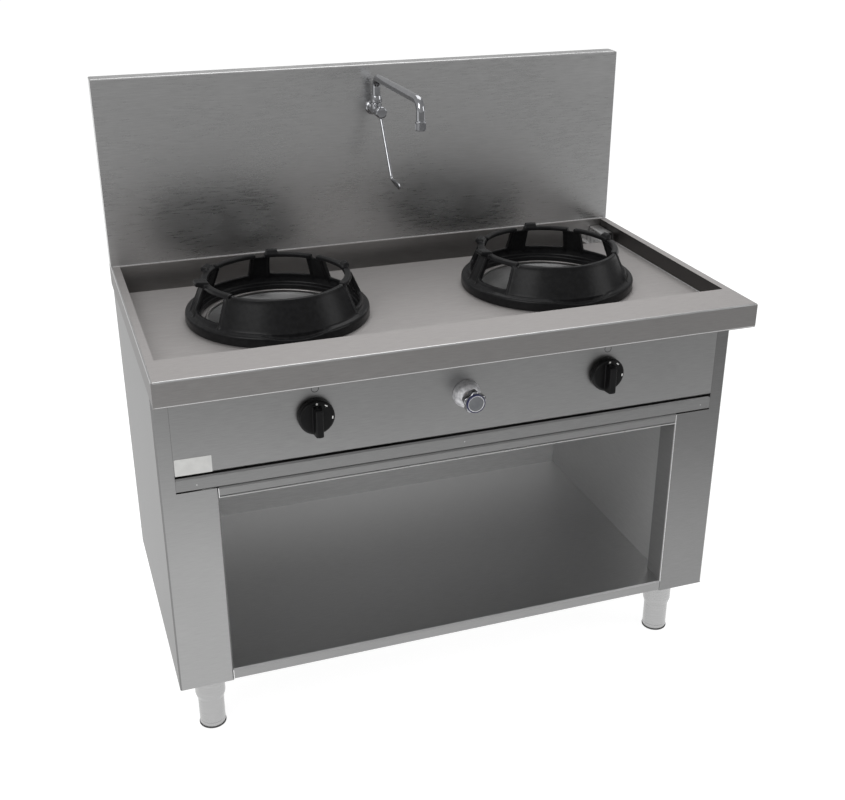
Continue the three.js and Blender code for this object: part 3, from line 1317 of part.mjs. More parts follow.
function makeTapPlug(x) {
  const boreR = (SPINDLE_R + RUNNING_GAP) / Math.cos(Math.PI / SMALL);
  const boreBack = PLUG_FRONT + TAP_PLUG_BORE_LENGTH;
  return revolve('y', [
    [boreR, PLUG_FRONT],
    [TAP_PLUG_R, PLUG_FRONT],
    [TAP_PLUG_R - TAP_PLUG_TAPER, PLUG_BACK],
    [0, PLUG_BACK],
    [0, boreBack],
    [boreR, boreBack],
  ], [x, 0, CONTROL_HEIGHT], SMALL);
}

function makeTapSpindle(x) {
  const front = KNOB_BACK - KNOB_BORE + SEAT_GAP;
  return bar('y', SPINDLE_R, [x, CONTROL_HEIGHT], front, SPINDLE_BACK, SMALL);
}

/** A round skirt with a grip bar across it, whose lower end runs out past the skirt's face. */
function makeKnob(x) {
  const face = KNOB_BACK - KNOB_SKIRT;
  const front = face - KNOB_GRIP_HEIGHT;
  const edge = KNOB_SKIRT_ROUND;
  const skirt = revolve('y', [
    [0, KNOB_BACK],
    [KNOB_R, KNOB_BACK],
    [KNOB_R, face + edge],
    [KNOB_R - edge / 3, face + edge / 3],
    [KNOB_R - edge, face],
    [0, face],
  ], [x, 0, CONTROL_HEIGHT], MEDIUM);
  const hollow = revolve('y', [
    [KNOB_HUB_R, KNOB_BACK + OVER],
    [KNOB_HOLLOW_R, KNOB_BACK + OVER],
    [KNOB_HOLLOW_R, KNOB_BACK - KNOB_HOLLOW],
    [KNOB_HUB_R, KNOB_BACK - KNOB_HOLLOW],
  ], [x, 0, CONTROL_HEIGHT]);
  const centre = [x, CONTROL_HEIGHT];
  const bore = hole('y', SPINDLE_R + RUNNING_GAP, centre, KNOB_BACK - KNOB_BORE, KNOB_BACK + OVER);
  const wide = KNOB_GRIP_WIDTH / 2;
  const narrow = wide - KNOB_GRIP_DRAFT;
  const root = face + OVERLAP;
  const section = [[x - wide, root], [x + wide, root], [x + narrow, front], [x - narrow, front]];
  const height = [CONTROL_HEIGHT - KNOB_R, CONTROL_HEIGHT + KNOB_R];
  const flatBar = extrude('z', rounded(section, [0, 0, edge, edge]), ...height);
  const roundEnds = bar('y', KNOB_R - edge / 2, centre, front - OVER, KNOB_BACK, MEDIUM);
  return cut(join(skirt, flatBar.intersect(roundEnds)), hollow, bore);
}

function makeGasPipe(knobX, burnerX) {
  const top = CONTROL_HEIGHT - GAS_TAP_OUTLET_DROP - SEAT_GAP;
  const injectorEnd = VENTURI_FRONT + 2 * VENTURI_END;
  const injectorStart = injectorEnd - INJECTOR_LENGTH;
  const corners = [
    [knobX, GAS_TAP_OUTLET_Y, top],
    [knobX, GAS_TAP_OUTLET_Y, VENTURI_Z],
    [burnerX, injectorStart + OVERLAP, VENTURI_Z],
  ];
  const injector = bar('y', INJECTOR_R, [burnerX, VENTURI_Z], injectorStart, injectorEnd, SMALL);
  return join(pipe(corners, GAS_PIPE_R, GAS_PIPE_BEND, TINY), injector);
}

// ---------------------------------------------------------------- water valve and pipes

function makeValveBody() {
  const x = CONTROL_MIDDLE_X;
  const shoulder = BEHIND_PANEL + GAS_TAP_NECK;
  const back = BEHIND_PANEL + VALVE_BODY;
  const body = revolve('y', [
    [0, BEHIND_PANEL],
    [VALVE_NECK_R, BEHIND_PANEL],
    [VALVE_NECK_R, shoulder],
    [VALVE_BODY_R, shoulder],
    [VALVE_BODY_R, back],
    [0, back],
  ], [x, 0, CONTROL_HEIGHT], SMALL);
  const outletEnd = CONTROL_HEIGHT - VALVE_OUTLET_DROP;
  const clear = VALVE_SPINDLE_R + VALVE_WALL;
  const down = [outletEnd, CONTROL_HEIGHT - clear];
  const outlet = bar('z', VALVE_OUTLET_R, [x, VALVE_OUTLET_Y], ...down, SMALL);
  const aside = [x + clear, x + VALVE_INLET_REACH];
  const inlet = bar('x', VALVE_OUTLET_R, [VALVE_OUTLET_Y, CONTROL_HEIGHT], ...aside, SMALL);
  const boreR = VALVE_SPINDLE_R + RUNNING_GAP;
  const boreEnd = BEHIND_PANEL + VALVE_SPINDLE_DEPTH;
  const bore = hole('y', boreR, [x, CONTROL_HEIGHT], BEHIND_PANEL - OVER, boreEnd);
  return cut(join(body, outlet, inlet), bore);
}

function makeEscutcheon() {
  const back = CABINET_FRONT - SEAT_GAP;
  const front = ESCUTCHEON_FRONT;
  const w = ESCUTCHEON_WALL;
  const holeR = VALVE_SPINDLE_R + SPINDLE_HOLE_GAP;
  const midR = (ESCUTCHEON_R + ESCUTCHEON_NOSE_R) / 2 + ESCUTCHEON_SWELL;
  const mid = back - ESCUTCHEON_DEPTH / 2;
  const shoulder = front + ESCUTCHEON_SHOULDER;
  return revolve('y', [
    [ESCUTCHEON_R, back],
    [ESCUTCHEON_R, back - w],
    [midR, mid],
    [ESCUTCHEON_NOSE_R + ESCUTCHEON_NOSE_DRAFT, shoulder],
    [ESCUTCHEON_NOSE_R, front],
    [holeR, front],
    [holeR, front + w],
    [ESCUTCHEON_NOSE_R - w, shoulder + w],
    [midR - w, mid + w],
    [ESCUTCHEON_R - w, back],
  ], [CONTROL_MIDDLE_X, 0, CONTROL_HEIGHT]);
}

function makeValveSpindle() {
  const back = BEHIND_PANEL + VALVE_SPINDLE_DEPTH - SEAT_GAP;
  const front = HANDLE_FRONT + HANDLE_FACE + SEAT_GAP;
  return bar('y', VALVE_SPINDLE_R, [CONTROL_MIDDLE_X, CONTROL_HEIGHT], front, back, SMALL);
}

/** The lobed handle on a round neck. */
function makeValveHandle() {
  const steps = HANDLE_LOBES * 6;
  const outline = [];
  for (let k = 0; k < steps; k += 1) {
    const angle = (2 * Math.PI * k) / steps;
    const r = HANDLE_MEAN_R + HANDLE_LOBE * Math.cos(HANDLE_LOBES * angle);
    outline.push([CONTROL_MIDDLE_X + r * Math.sin(angle), CONTROL_HEIGHT + r * Math.cos(angle)]);
  }
  const neckFront = HANDLE_BACK - HANDLE_NECK;
  const lobes = extrude('y', outline, HANDLE_FRONT, neckFront);
  const centre = [CONTROL_MIDDLE_X, CONTROL_HEIGHT];
  const neck = bar('y', HANDLE_NECK_R, centre, neckFront - OVERLAP, HANDLE_BACK);
  const depth = [HANDLE_FRONT + HANDLE_FACE, HANDLE_BACK + OVER];
  const bore = hole('y', VALVE_SPINDLE_R + RUNNING_GAP, centre, ...depth);
  return cut(join(lobes, neck), bore);
}

function makeValveIndex() {
  const back = HANDLE_FRONT - SEAT_GAP;
  const front = back - INDEX_THICKNESS;
  return revolve('y', [
    [0, back],
    [INDEX_R, back],
    [INDEX_R, front + INDEX_CHAMFER],
    [INDEX_R - INDEX_CHAMFER, front],
    [0, front],
  ], [CONTROL_MIDDLE_X, 0, CONTROL_HEIGHT], MEDIUM);
}

/** From the valve under the worktop to the back, then up inside the splashback to the tap. */
function makeWaterPipe() {
  const tailEnd = SPLASHBACK_FRONT + TAP_TAIL_LENGTH - TAP_FLANGE + SEAT_GAP;
  const corners = [
    [CONTROL_MIDDLE_X, VALVE_OUTLET_Y, CONTROL_HEIGHT - VALVE_OUTLET_DROP - SEAT_GAP],
    [CONTROL_MIDDLE_X, VALVE_OUTLET_Y, WATER_PIPE_HEIGHT],
    [0, WATER_PIPE_Y, WATER_PIPE_HEIGHT],
    [0, WATER_PIPE_Y, TAP_HEIGHT],
    [0, tailEnd, TAP_HEIGHT],
  ];
  return pipe(corners, WATER_PIPE_R, WATER_PIPE_BEND);
}

function makeWaterInlet() {
  const start = CONTROL_MIDDLE_X + VALVE_INLET_REACH + SEAT_GAP;
  const corners = [
    [start, VALVE_OUTLET_Y, CONTROL_HEIGHT],
    [WATER_INLET_X, VALVE_OUTLET_Y, CONTROL_HEIGHT],
    [WATER_INLET_X, VALVE_OUTLET_Y, WATER_PIPE_HEIGHT],
    [WATER_INLET_X, CABINET_BACK + PIPE_END_REACH, WATER_PIPE_HEIGHT],
  ];
  return pipe(corners, WATER_PIPE_R, WATER_PIPE_BEND);
}

// ---------------------------------------------------------------- tap on the splashback

function makeTapFlange() {
  const back = SPLASHBACK_FRONT - SEAT_GAP;
  const front = back - TAP_FLANGE;
  const innerR = TAP_TAIL_R + SEAT_GAP;
  return revolve('y', [
    [innerR, back],
    [TAP_FLANGE_R, back],
    [TAP_FLANGE_R, back - TAP_FLANGE / 3],
    [TAP_FLANGE_R - TAP_FLANGE_CHAMFER, front],
    [innerR, front],
  ], [0, 0, TAP_HEIGHT]);
}

/** Barrel with its tail through the splashback, the boss for the spout and the valve's spindle. */
function makeTapBody() {
  const tailBack = SPLASHBACK_FRONT + TAP_TAIL_LENGTH - TAP_FLANGE;
  const barrelBack = SPLASHBACK_FRONT - TAP_FLANGE - 2 * SEAT_GAP;
  const barrelFront = SPLASHBACK_FRONT - TAP_BARREL_END;
  const bonnetFront = SPLASHBACK_FRONT - TAP_BONNET_END;
  const body = revolve('y', [
    [0, tailBack],
    [TAP_TAIL_R, tailBack],
    [TAP_TAIL_R, barrelBack],
    [TAP_BARREL_R, barrelBack],
    [TAP_BARREL_R, barrelFront],
    [TAP_BONNET_R, barrelFront],
    [TAP_BONNET_R, bonnetFront],
    [TAP_SPINDLE_R, bonnetFront],
    [TAP_SPINDLE_R, bonnetFront - TAP_SPINDLE_LENGTH],
    [0, bonnetFront - TAP_SPINDLE_LENGTH],
  ], [0, 0, TAP_HEIGHT]);
  return join(body, bar('z', SWIVEL_BOSS_R, [0, SWIVEL_Y], TAP_HEIGHT, SWIVEL_SEAT));
}

function makeSwivelNut() {
  const bottom = SWIVEL_SEAT + SEAT_GAP;
  const top = bottom + SWIVEL_NUT_HEIGHT;
  const boreR = (SPOUT_R + RUNNING_GAP) / Math.cos(Math.PI / ROUND);
  return revolve('z', [
    [boreR, bottom],
    [SWIVEL_NUT_R, bottom],
    [SWIVEL_NUT_R, bottom + SWIVEL_NUT_HEIGHT / 2],
    [boreR + SWIVEL_NUT_LIP, top],
    [boreR, top],
  ], [0, SWIVEL_Y, 0]);
}

function makeSpout() {
  const start = SWIVEL_SEAT + SEAT_GAP;
  const tip = SPOUT_TOP - SPOUT_DROP;
  const route = (past) => [
    [0, SWIVEL_Y, start - past],
    [0, SWIVEL_Y, SPOUT_TOP],
    [0, SPOUT_TIP_Y, SPOUT_TOP],
    [0, SPOUT_TIP_Y, tip - past],
  ];
  const outside = pipe(route(0), SPOUT_R, SPOUT_BEND);
  return cut(outside, pipe(route(OVER), SPOUT_R - SPOUT_WALL, SPOUT_BEND, TINY));
}

function makeAerator() {
  const pipeEnd = SPOUT_TOP - SPOUT_DROP;
  const top = pipeEnd + AERATOR_SOCKET;
  const bottom = top - AERATOR_LENGTH;
  const boreR = (SPOUT_R + SEAT_GAP) / Math.cos(Math.PI / ROUND);
  const outletR = SPOUT_R - SPOUT_WALL;
  return revolve('z', [
    [boreR, top],
    [AERATOR_R, top],
    [AERATOR_R, bottom + AERATOR_CHAMFER],
    [AERATOR_R - AERATOR_CHAMFER, bottom],
    [outletR, bottom],
    [outletR, pipeEnd - SEAT_GAP],
    [boreR, pipeEnd - SEAT_GAP],
  ], [0, SPOUT_TIP_Y, 0]);
}

/** The long lever: a hub on the tap's spindle, a bent rod and a flat paddle. */
function makeLever() {
  const hub = revolve('y', [
    [0, HUB_FRONT],
    [LEVER_HUB_R - LEVER_HUB_CHAMFER, HUB_FRONT],
    [LEVER_HUB_R, HUB_FRONT + LEVER_HUB_CHAMFER],
    [LEVER_HUB_R, HUB_BACK],
    [0, HUB_BACK],
  ], [0, 0, TAP_HEIGHT]);
  const boreR = TAP_SPINDLE_R + RUNNING_GAP;
  const bore = hole('y', boreR, [0, TAP_HEIGHT], HUB_BACK - LEVER_HUB_BORE, HUB_BACK + OVER);
  const rodStart = HUB_BACK - LEVER_HUB / 3;
  const from = new THREE.Vector2(rodStart - LEVER_ROD_REACH, TAP_HEIGHT - LEVER_DROP);
  const to = from.clone().sub(new THREE.Vector2(PADDLE_LENGTH, PADDLE_SLOPE));
  const along = to.clone().sub(from).normalize();
  const across = new THREE.Vector2(-along.y, along.x).multiplyScalar(PADDLE_HEIGHT / 2);
  const rodEnd = from.clone().addScaledVector(along, PADDLE_ROD_OVERLAP);
  const rod = pipe(
    [
      [0, rodStart, TAP_HEIGHT - LEVER_ROD_START_DROP],
      [0, ...from.toArray()],
      [0, ...rodEnd.toArray()],
    ],
    LEVER_ROD_R,
    LEVER_ROD_BEND,
    TINY,
  );
  const outline = [
    from.clone().sub(across).toArray(),
    to.clone().sub(across).toArray(),
    to.clone().add(across).toArray(),
    from.clone().add(across).toArray(),
  ];
  const radii = [PADDLE_ROOT_ROUND, PADDLE_ROUND, PADDLE_ROUND, PADDLE_ROOT_ROUND];
  const half = PADDLE_THICKNESS / 2;
  const paddle = extrude('x', rounded(outline, radii), -half, half);
  return cut(join(hub, rod, paddle), bore);
}

// ---------------------------------------------------------------- assembly

const range = new THREE.Group();
const casing = new THREE.Group();
const feet = new THREE.Group();
const cooking = new THREE.Group();
const gas = new THREE.Group();
const water = new THREE.Group();
range.add(casing, feet, cooking, gas, water);

addPiece(casing, 'worktop', makeWorktop(), 'panSteel');
addPiece(casing, 'splashback', makeSplashback(), 'brushedSteel');
addPiece(casing, 'splashback_back_cover', makeSplashbackCover(), 'brushedSteel');
addPiece(casing, 'rear_panel', makeRearPanel(), 'brushedSteel');
addPiece(casing, 'control_panel', makeControlPanel(), 'brushedSteel');
addPiece(casing, 'front_rail', makeFrontRail(), 'brushedSteel');
addPiece(casing, 'cupboard_ceiling', makeCeiling(), 'brushedSteel');
addPiece(casing, 'bottom_shelf', makeShelf(), 'brushedSteel');
addPiece(casing, 'front_bearer', makeBearer(FRONT_BEARER_Y), 'galvanised');
addPiece(casing, 'rear_bearer', makeBearer(REAR_BEARER_Y), 'galvanised');

const sidePieces = {
  side_panel: makeSidePanel(),
  inner_side: makeInnerSide(),
  base_channel: makeBaseChannel(),
};
for (const [name, solid] of Object.entries(sidePieces)) {
  const finish = name === 'base_channel' ? 'galvanised' : 'brushedSteel';
  addPiece(casing, `right_${name}`, solid, finish);
  addPiece(casing, `left_${name}`, mirrored(solid), finish);
}

for (const [row, y] of [['front', FRONT + FOOT_FROM_FRONT], ['rear', BACK - FOOT_FROM_BACK]]) {
  for (const [side, x] of [['left', -FOOT_X], ['right', FOOT_X]]) {
    addPiece(feet, `${row}_${side}_foot_sleeve`, makeFootSleeve(x, y), 'brushedSteel');
    addPiece(feet, `${row}_${side}_foot_stem`, makeFootStem(x, y), 'brushedSteel');
    addPiece(feet, `${row}_${side}_foot_pad`, makeFootPad(x, y), 'blackRubber');
  }
}

const ring = makeWokRing();
['left', 'right'].forEach((side, i) => {
  const ringPlace = toGeometry(ring).translate(BURNER_XS[i], BURNER_Y, PAN_FLOOR + SEAT_GAP);
  addPiece(cooking, `${side}_wok_ring`, toSolid(ringPlace), 'castIron');
  addPiece(cooking, `${side}_burner_well`, makeWell(BURNER_XS[i]), 'brushedSteel');
  addPiece(cooking, `${side}_burner`, makeBurner(BURNER_XS[i]), 'castIron');
  addPiece(gas, `${side}_gas_tap`, makeGasTap(KNOB_XS[i]), 'brass');
  addPiece(gas, `${side}_tap_plug`, makeTapPlug(KNOB_XS[i]), 'brass');
  addPiece(gas, `${side}_tap_spindle`, makeTapSpindle(KNOB_XS[i]), 'chrome');
  addPiece(gas, `${side}_knob`, makeKnob(KNOB_XS[i]), 'blackPlastic');
  addPiece(gas, `${side}_gas_pipe`, makeGasPipe(KNOB_XS[i], BURNER_XS[i]), 'brass');
});
addPiece(gas, 'gas_manifold', makeManifold(), 'galvanised');

addPiece(water, 'drain_strainer', makeStrainer(), 'brushedSteel');
addPiece(water, 'drain_pipe', makeDrainPipe(), 'brushedSteel');
addPiece(water, 'water_valve_body', makeValveBody(), 'brass');
addPiece(water, 'valve_escutcheon', makeEscutcheon(), 'chrome');
addPiece(water, 'valve_spindle', makeValveSpindle(), 'brass');
addPiece(water, 'valve_handle', makeValveHandle(), 'chrome');
addPiece(water, 'valve_index', makeValveIndex(), 'indexPlastic');
addPiece(water, 'water_pipe', makeWaterPipe(), 'brushedSteel');
addPiece(water, 'water_inlet_pipe', makeWaterInlet(), 'brushedSteel');
addPiece(water, 'tap_flange', makeTapFlange(), 'chrome');
addPiece(water, 'tap_body', makeTapBody(), 'chrome');
addPiece(water, 'swivel_nut', makeSwivelNut(), 'chrome');
addPiece(water, 'spout', makeSpout(), 'chrome');
addPiece(water, 'aerator', makeAerator(), 'chrome');
addPiece(water, 'tap_lever', makeLever(), 'chrome');

export default range;
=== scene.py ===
"""Looks of a free-standing wok range with two burners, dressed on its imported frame.

The folded sheets, bearers and hidden gas line keep the frame's own solids and get their metals
here. The cast rings, knobs, valve, tap, burners and feet are modelled finer and stand for theirs.
Sizes are millimetres, and meshes are turned to metres when they are made.
"""

import logging
import math
from dataclasses import dataclass
from enum import Enum
from typing import Callable, Iterable, Sequence

import bmesh
import bpy
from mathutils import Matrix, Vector


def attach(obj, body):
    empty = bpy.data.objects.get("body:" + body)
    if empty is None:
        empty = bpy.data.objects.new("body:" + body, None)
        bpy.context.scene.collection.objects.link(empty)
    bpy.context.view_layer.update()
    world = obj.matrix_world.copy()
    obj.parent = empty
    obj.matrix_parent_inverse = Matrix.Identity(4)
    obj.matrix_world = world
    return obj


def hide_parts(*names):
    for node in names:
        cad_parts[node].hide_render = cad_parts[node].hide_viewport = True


MM = 0.001
LOG = logging.getLogger("wok_range")

Point2 = tuple[float, float]
Point3 = tuple[float, float, float]
Piece = bpy.types.Object
Tree = bpy.types.NodeTree
Socket = bpy.types.NodeSocket

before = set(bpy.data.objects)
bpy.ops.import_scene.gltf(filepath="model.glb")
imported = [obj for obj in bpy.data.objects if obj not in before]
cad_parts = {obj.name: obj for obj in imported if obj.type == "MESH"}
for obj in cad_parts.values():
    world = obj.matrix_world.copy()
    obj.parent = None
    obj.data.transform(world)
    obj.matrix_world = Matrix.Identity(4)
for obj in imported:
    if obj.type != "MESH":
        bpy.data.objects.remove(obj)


# ---------------------------------------------------------------- places shared by several pieces

PAN_FLOOR = 825.0
WORKTOP_TOP = 860.0
CABINET_FRONT = -270.0
CONTROL_HEIGHT = 718.0
TAP_HEIGHT = 1168.0
BURNERS: dict[str, Point2] = {"left": (-301.0, -2.0), "right": (297.0, -2.0)}
KNOBS: dict[str, float] = {"left": -297.0, "right": 311.0}
VALVE_X = 7.0
SIDES = (-1, 1)


class Axis(Enum):
    """The line that a turned form turns about, or along which a prism runs."""

    X = 0
    Y = 1
    Z = 2

    def place(self, u: float, v: float, along: float) -> Point3:
        """Puts a point of a cross-section into space, right-handed about the axis."""
        if self is Axis.X:
            return (along, u, v)
        if self is Axis.Y:
            return (u, along, v)
        return (u, v, along)


class Grain(Enum):
    """Which way the sheet was brushed, as pattern frequency along X, Y and Z (1 is across)."""

    LEVEL = (0.0, 0.0, 1.0)
    ALONG_X = (0.0, 1.0, 1.0)


# ---------------------------------------------------------------- material helpers

NOISE_RANGE = (0.3, 0.7)  # where a noise mostly lies
FACET_RANGE = (0.55, 0.8)  # cosines between which a face starts to count as looking one way


def linear(code: str) -> tuple[float, float, float, float]:
    """Turns an sRGB hex colour to linear.

    Args:
        code: The colour, as "#rrggbb".

    Returns:
        Linear red, green and blue, and an alpha of 1.
    """
    values = []
    for start in (1, 3, 5):
        v = int(code[start : start + 2], 16) / 255
        values.append(v / 12.92 if v <= 0.04045 else ((v + 0.055) / 1.055) ** 2.4)
    return (values[0], values[1], values[2], 1.0)


def add_node(
    tree: Tree, kind: str, inputs: dict[str | int, object] | None = None, **settings: object
) -> bpy.types.Node:
    """Adds one node to a tree, with its settings, values and links.

    Args:
        tree: The tree that the node goes into.
        kind: The node's class name.
        inputs: Sockets by name or number. A socket as value is linked, any other value is set.
        settings: Properties of the node.

    Returns:
        The new node.
    """
    node = tree.nodes.new(kind)
    for name, value in settings.items():
        setattr(node, name, value)
    for key, value in (inputs or {}).items():
        if isinstance(value, Socket):
            tree.links.new(value, node.inputs[key])
        else:
            node.inputs[key].default_value = value
    return node


def coordinates(tree: Tree, kind: str = "Object") -> Socket:
    """The place of the point that is shaded."""
    return add_node(tree, "ShaderNodeTexCoord").outputs[kind]


def share_along(tree: Tree, vector: Socket, direction: Point3) -> Socket:
    """How far a vector goes along a direction."""
    inputs = {0: vector, 1: direction}
    return add_node(tree, "ShaderNodeVectorMath", inputs, operation="DOT_PRODUCT").outputs["Value"]


def blended(tree: Tree, share: Socket, first: Socket | str, second: Socket | str) -> Socket:
    """Mixes two colours, each a hex code or a socket, by a share from 0 to 1."""
    ends = [linear(c) if isinstance(c, str) else c for c in (first, second)]
    inputs = {0: share, 6: ends[0], 7: ends[1]}
    return add_node(tree, "ShaderNodeMix", inputs, data_type="RGBA").outputs[2]


def remapped(
    tree: Tree, value: Socket, source: Point2, target: Point2 = (0.0, 1.0), smooth: bool = False
) -> Socket:
    """Maps a value from one range to another and clamps it; smooth eases both ends."""
    inputs = {"Value": value, "From Min": source[0], "From Max": source[1]}
    inputs |= {"To Min": target[0], "To Max": target[1]}
    style = "SMOOTHSTEP" if smooth else "LINEAR"
    return add_node(tree, "ShaderNodeMapRange", inputs, interpolation_type=style).outputs["Result"]


def spread(tree: Tree, noise: Socket, low: float = 0.0, high: float = 1.0) -> Socket:
    """Maps a noise's usual range to low and high."""
    return remapped(tree, noise, NOISE_RANGE, (low, high))


def object_pattern(
    tree: Tree, scale: float | Point3, detail: float, roughness: float = 0.5
) -> Socket:
    """A noise in object coordinates; scale is in cells for each metre, or along X, Y and Z."""
    scale = scale if isinstance(scale, tuple) else (scale, scale, scale)
    place = add_node(tree, "ShaderNodeMapping", {"Vector": coordinates(tree), "Scale": scale})
    inputs = {"Vector": place.outputs["Vector"], "Scale": 1.0}
    inputs |= {"Detail": detail, "Roughness": roughness}
    return add_node(tree, "ShaderNodeTexNoise", inputs).outputs["Fac"]


def bumped(tree: Tree, height: Socket, strength: float, depth_mm: float) -> Socket:
    """A bump's normal from a height pattern."""
    inputs = {"Height": height, "Strength": strength, "Distance": depth_mm * MM}
    return add_node(tree, "ShaderNodeBump", inputs).outputs["Normal"]


def cells(size_mm: float) -> float:
    """Cells for each metre of a pattern of this size."""
    return 1 / (size_mm * MM)


@dataclass(frozen=True)
class Finish:
    """What every finish shares: its name and one material, made once."""

    name: str

    def material(self) -> bpy.types.Material:
        """The finish's material, made on first use."""
        made = bpy.data.materials.get(self.name)
        if made is None:
            made = bpy.data.materials.new(self.name)
            made.use_nodes = True
            tree = made.node_tree
            tree.nodes.clear()
            shader = add_node(tree, "ShaderNodeBsdfPrincipled", self.values(tree))
            add_node(tree, "ShaderNodeOutputMaterial", {"Surface": shader.outputs["BSDF"]})
        return made

    def values(self, tree: Tree) -> dict[str, object]:
        """Builds the patterns and gives the Principled shader's inputs."""
        raise NotImplementedError


@dataclass(frozen=True)
class LitFacet:
    """Faces of a folded sheet that look one way, with their own gloss and a grey of painted light
    and shade.
    """

    direction: Point3
    light: str
    dark: str
    roughness: float


@dataclass(frozen=True)
class PaintedReflection:
    """A painted reflection: a slow change of colour along a sheet's depth."""

    start: float
    end: float
    colour: str


@dataclass(frozen=True)
class BrushedSteel(Finish):
    """Cold-rolled stainless sheet, belt-brushed: satin, with short streaks along the belt.

    The eye sees soft, stretched reflections and faint dashes about 30 mm long. The real hairlines
    are 0.1 mm wide; the streaks are drawn 2 mm wide, so that they show in a whole view.
    """

    light: str
    dark: str
    roughness: float = 0.36
    grain: Grain = Grain.LEVEL
    lit_facets: tuple[LitFacet, ...] = ()
    haze_and_sheen: PaintedReflection | None = None
    streak_mm: float = 2.0
    streak_length_mm: float = 30.0
    cloud_mm: float = 160.0
    streak_gloss: float = 0.04
    cloud_gloss: float = 0.03
    relief: float = 0.12
    relief_mm: float = 0.12

    def _light_facet(
        self, tree: Tree, lit_facet: LitFacet, pattern: Socket, colour: Socket, gloss: Socket
    ) -> tuple[Socket, Socket]:
        """Paints light and shade on the faces that look one way, as their own grey, and gives them
        their own gloss.

        Args:
            tree: The material's tree.
            lit_facet: Which way they look and what they get.
            pattern: The streaks, from 0 to 1.
            colour: The other faces' colour.
            gloss: The other faces' roughness.

        Returns:
            The colour and the roughness of the whole sheet.
        """
        # Painted light and shade for the faces that look this way.
        own = blended(tree, pattern, lit_facet.dark, lit_facet.light)
        normal = add_node(tree, "ShaderNodeNewGeometry").outputs["True Normal"]
        share = remapped(tree, share_along(tree, normal, lit_facet.direction), FACET_RANGE)
        inputs = {0: share, 2: gloss, 3: lit_facet.roughness}
        duller = add_node(tree, "ShaderNodeMix", inputs, data_type="FLOAT")
        return blended(tree, share, colour, own), duller.outputs[0]

    def values(self, tree: Tree) -> dict[str, object]:
        """Streaks give colour, gloss and a fine relief; clouds shift the gloss a little; facings
        and depth add painted light, shade and reflection.
        """
        across, along = cells(self.streak_mm), cells(self.streak_length_mm)
        scale = tuple(across if axis else along for axis in self.grain.value)
        streaks = object_pattern(tree, scale, 3.0, 0.6)
        clouds = object_pattern(tree, cells(self.cloud_mm), 2.0)
        low, high = self.roughness - self.streak_gloss, self.roughness + self.streak_gloss
        sheen = spread(tree, streaks, low, high)
        drift = spread(tree, clouds, -self.cloud_gloss, self.cloud_gloss)
        gloss = add_node(tree, "ShaderNodeMath", {0: sheen, 1: drift}, operation="ADD").outputs[0]
        pattern = spread(tree, streaks)
        colour = blended(tree, pattern, self.dark, self.light)
        # Painted light and shade: faces that look one way get their own grey.
        for lit_facet in self.lit_facets:
            colour, gloss = self._light_facet(tree, lit_facet, pattern, colour, gloss)
        # Painted reflection: the colour turns towards another along the sheet's depth.
        if self.haze_and_sheen is not None:
            depth = share_along(tree, coordinates(tree), (0.0, 1.0, 0.0))
            ends = (self.haze_and_sheen.start * MM, self.haze_and_sheen.end * MM)
            share = remapped(tree, depth, ends, smooth=True)
            colour = blended(tree, share, colour, self.haze_and_sheen.colour)
        normal = bumped(tree, streaks, self.relief, self.relief_mm)
        return {"Base Color": colour, "Metallic": 1.0, "Roughness": gloss, "Normal": normal}


@dataclass(frozen=True)
class ZincSheet(Finish):
    """Hot-dip galvanised sheet and pipe: dull grey with crystal spangle about 12 mm across."""

    spangle_mm: float = 12.0

    def values(self, tree: Tree) -> dict[str, object]:
        """Cells of slightly different grey and gloss."""
        inputs = {"Vector": coordinates(tree), "Scale": cells(self.spangle_mm)}
        spangle = add_node(tree, "ShaderNodeTexVoronoi", inputs).outputs["Color"]
        tone = add_node(tree, "ShaderNodeSeparateColor", {"Color": spangle}).outputs
        colour = blended(tree, tone[0], "#a3a5a8", "#b8babd")
        return {
            "Base Color": colour,
            "Metallic": 1.0,
            "Roughness": spread(tree, tone[1], 0.46, 0.52),
        }


@dataclass(frozen=True)
class EnamelledIron(Finish):
    """Sand-cast grey iron under black enamel: deep black, semi-gloss, with the sand's grain."""

    light: str = "#1c1c1d"
    dark: str = "#131314"
    grain_mm: float = 1.1
    wave_mm: float = 9.0
    wave_height: float = 2.5
    shine: float = 0.14

    def values(self, tree: Tree) -> dict[str, object]:
        """Fine grain over a slow wave, both as relief; the grain also dulls the gloss."""
        grain = object_pattern(tree, cells(self.grain_mm), 2.0)
        waves = object_pattern(tree, cells(self.wave_mm), 2.0)
        inputs = {0: waves, 1: self.wave_height, 2: grain}
        height = add_node(tree, "ShaderNodeMath", inputs, operation="MULTIPLY_ADD").outputs[0]
        return {
            "Base Color": blended(tree, spread(tree, waves), self.dark, self.light),
            "Roughness": spread(tree, grain, 0.26, 0.36),
            "Specular IOR Level": self.shine,
            "Normal": bumped(tree, height, 0.35, 0.12),
        }


@dataclass(frozen=True)
class PolishedChrome(Finish):
    """Chrome plate on polished brass: a clear mirror, a little hazed by lime and wiping. Its grey
    is painted shade where darker than bare chrome, painted light where lighter.
    """

    # Darker than bare chrome: painted shade.
    colour: str = "#a2a3a6"
    haze_and_sheen: float = 0.10
    patch_mm: float = 10.0

    def values(self, tree: Tree) -> dict[str, object]:
        """Dull, rougher patches about 10 mm across, which also darken the grey as painted shade."""
        patches = object_pattern(tree, cells(self.patch_mm), 3.0)
        return {
            "Base Color": blended(tree, spread(tree, patches, 0.0, 0.6), self.colour, "#8d8e91"),
            "Metallic": 1.0,
            "Roughness": spread(tree, patches, self.haze_and_sheen - 0.04, self.haze_and_sheen + 0.06),
        }


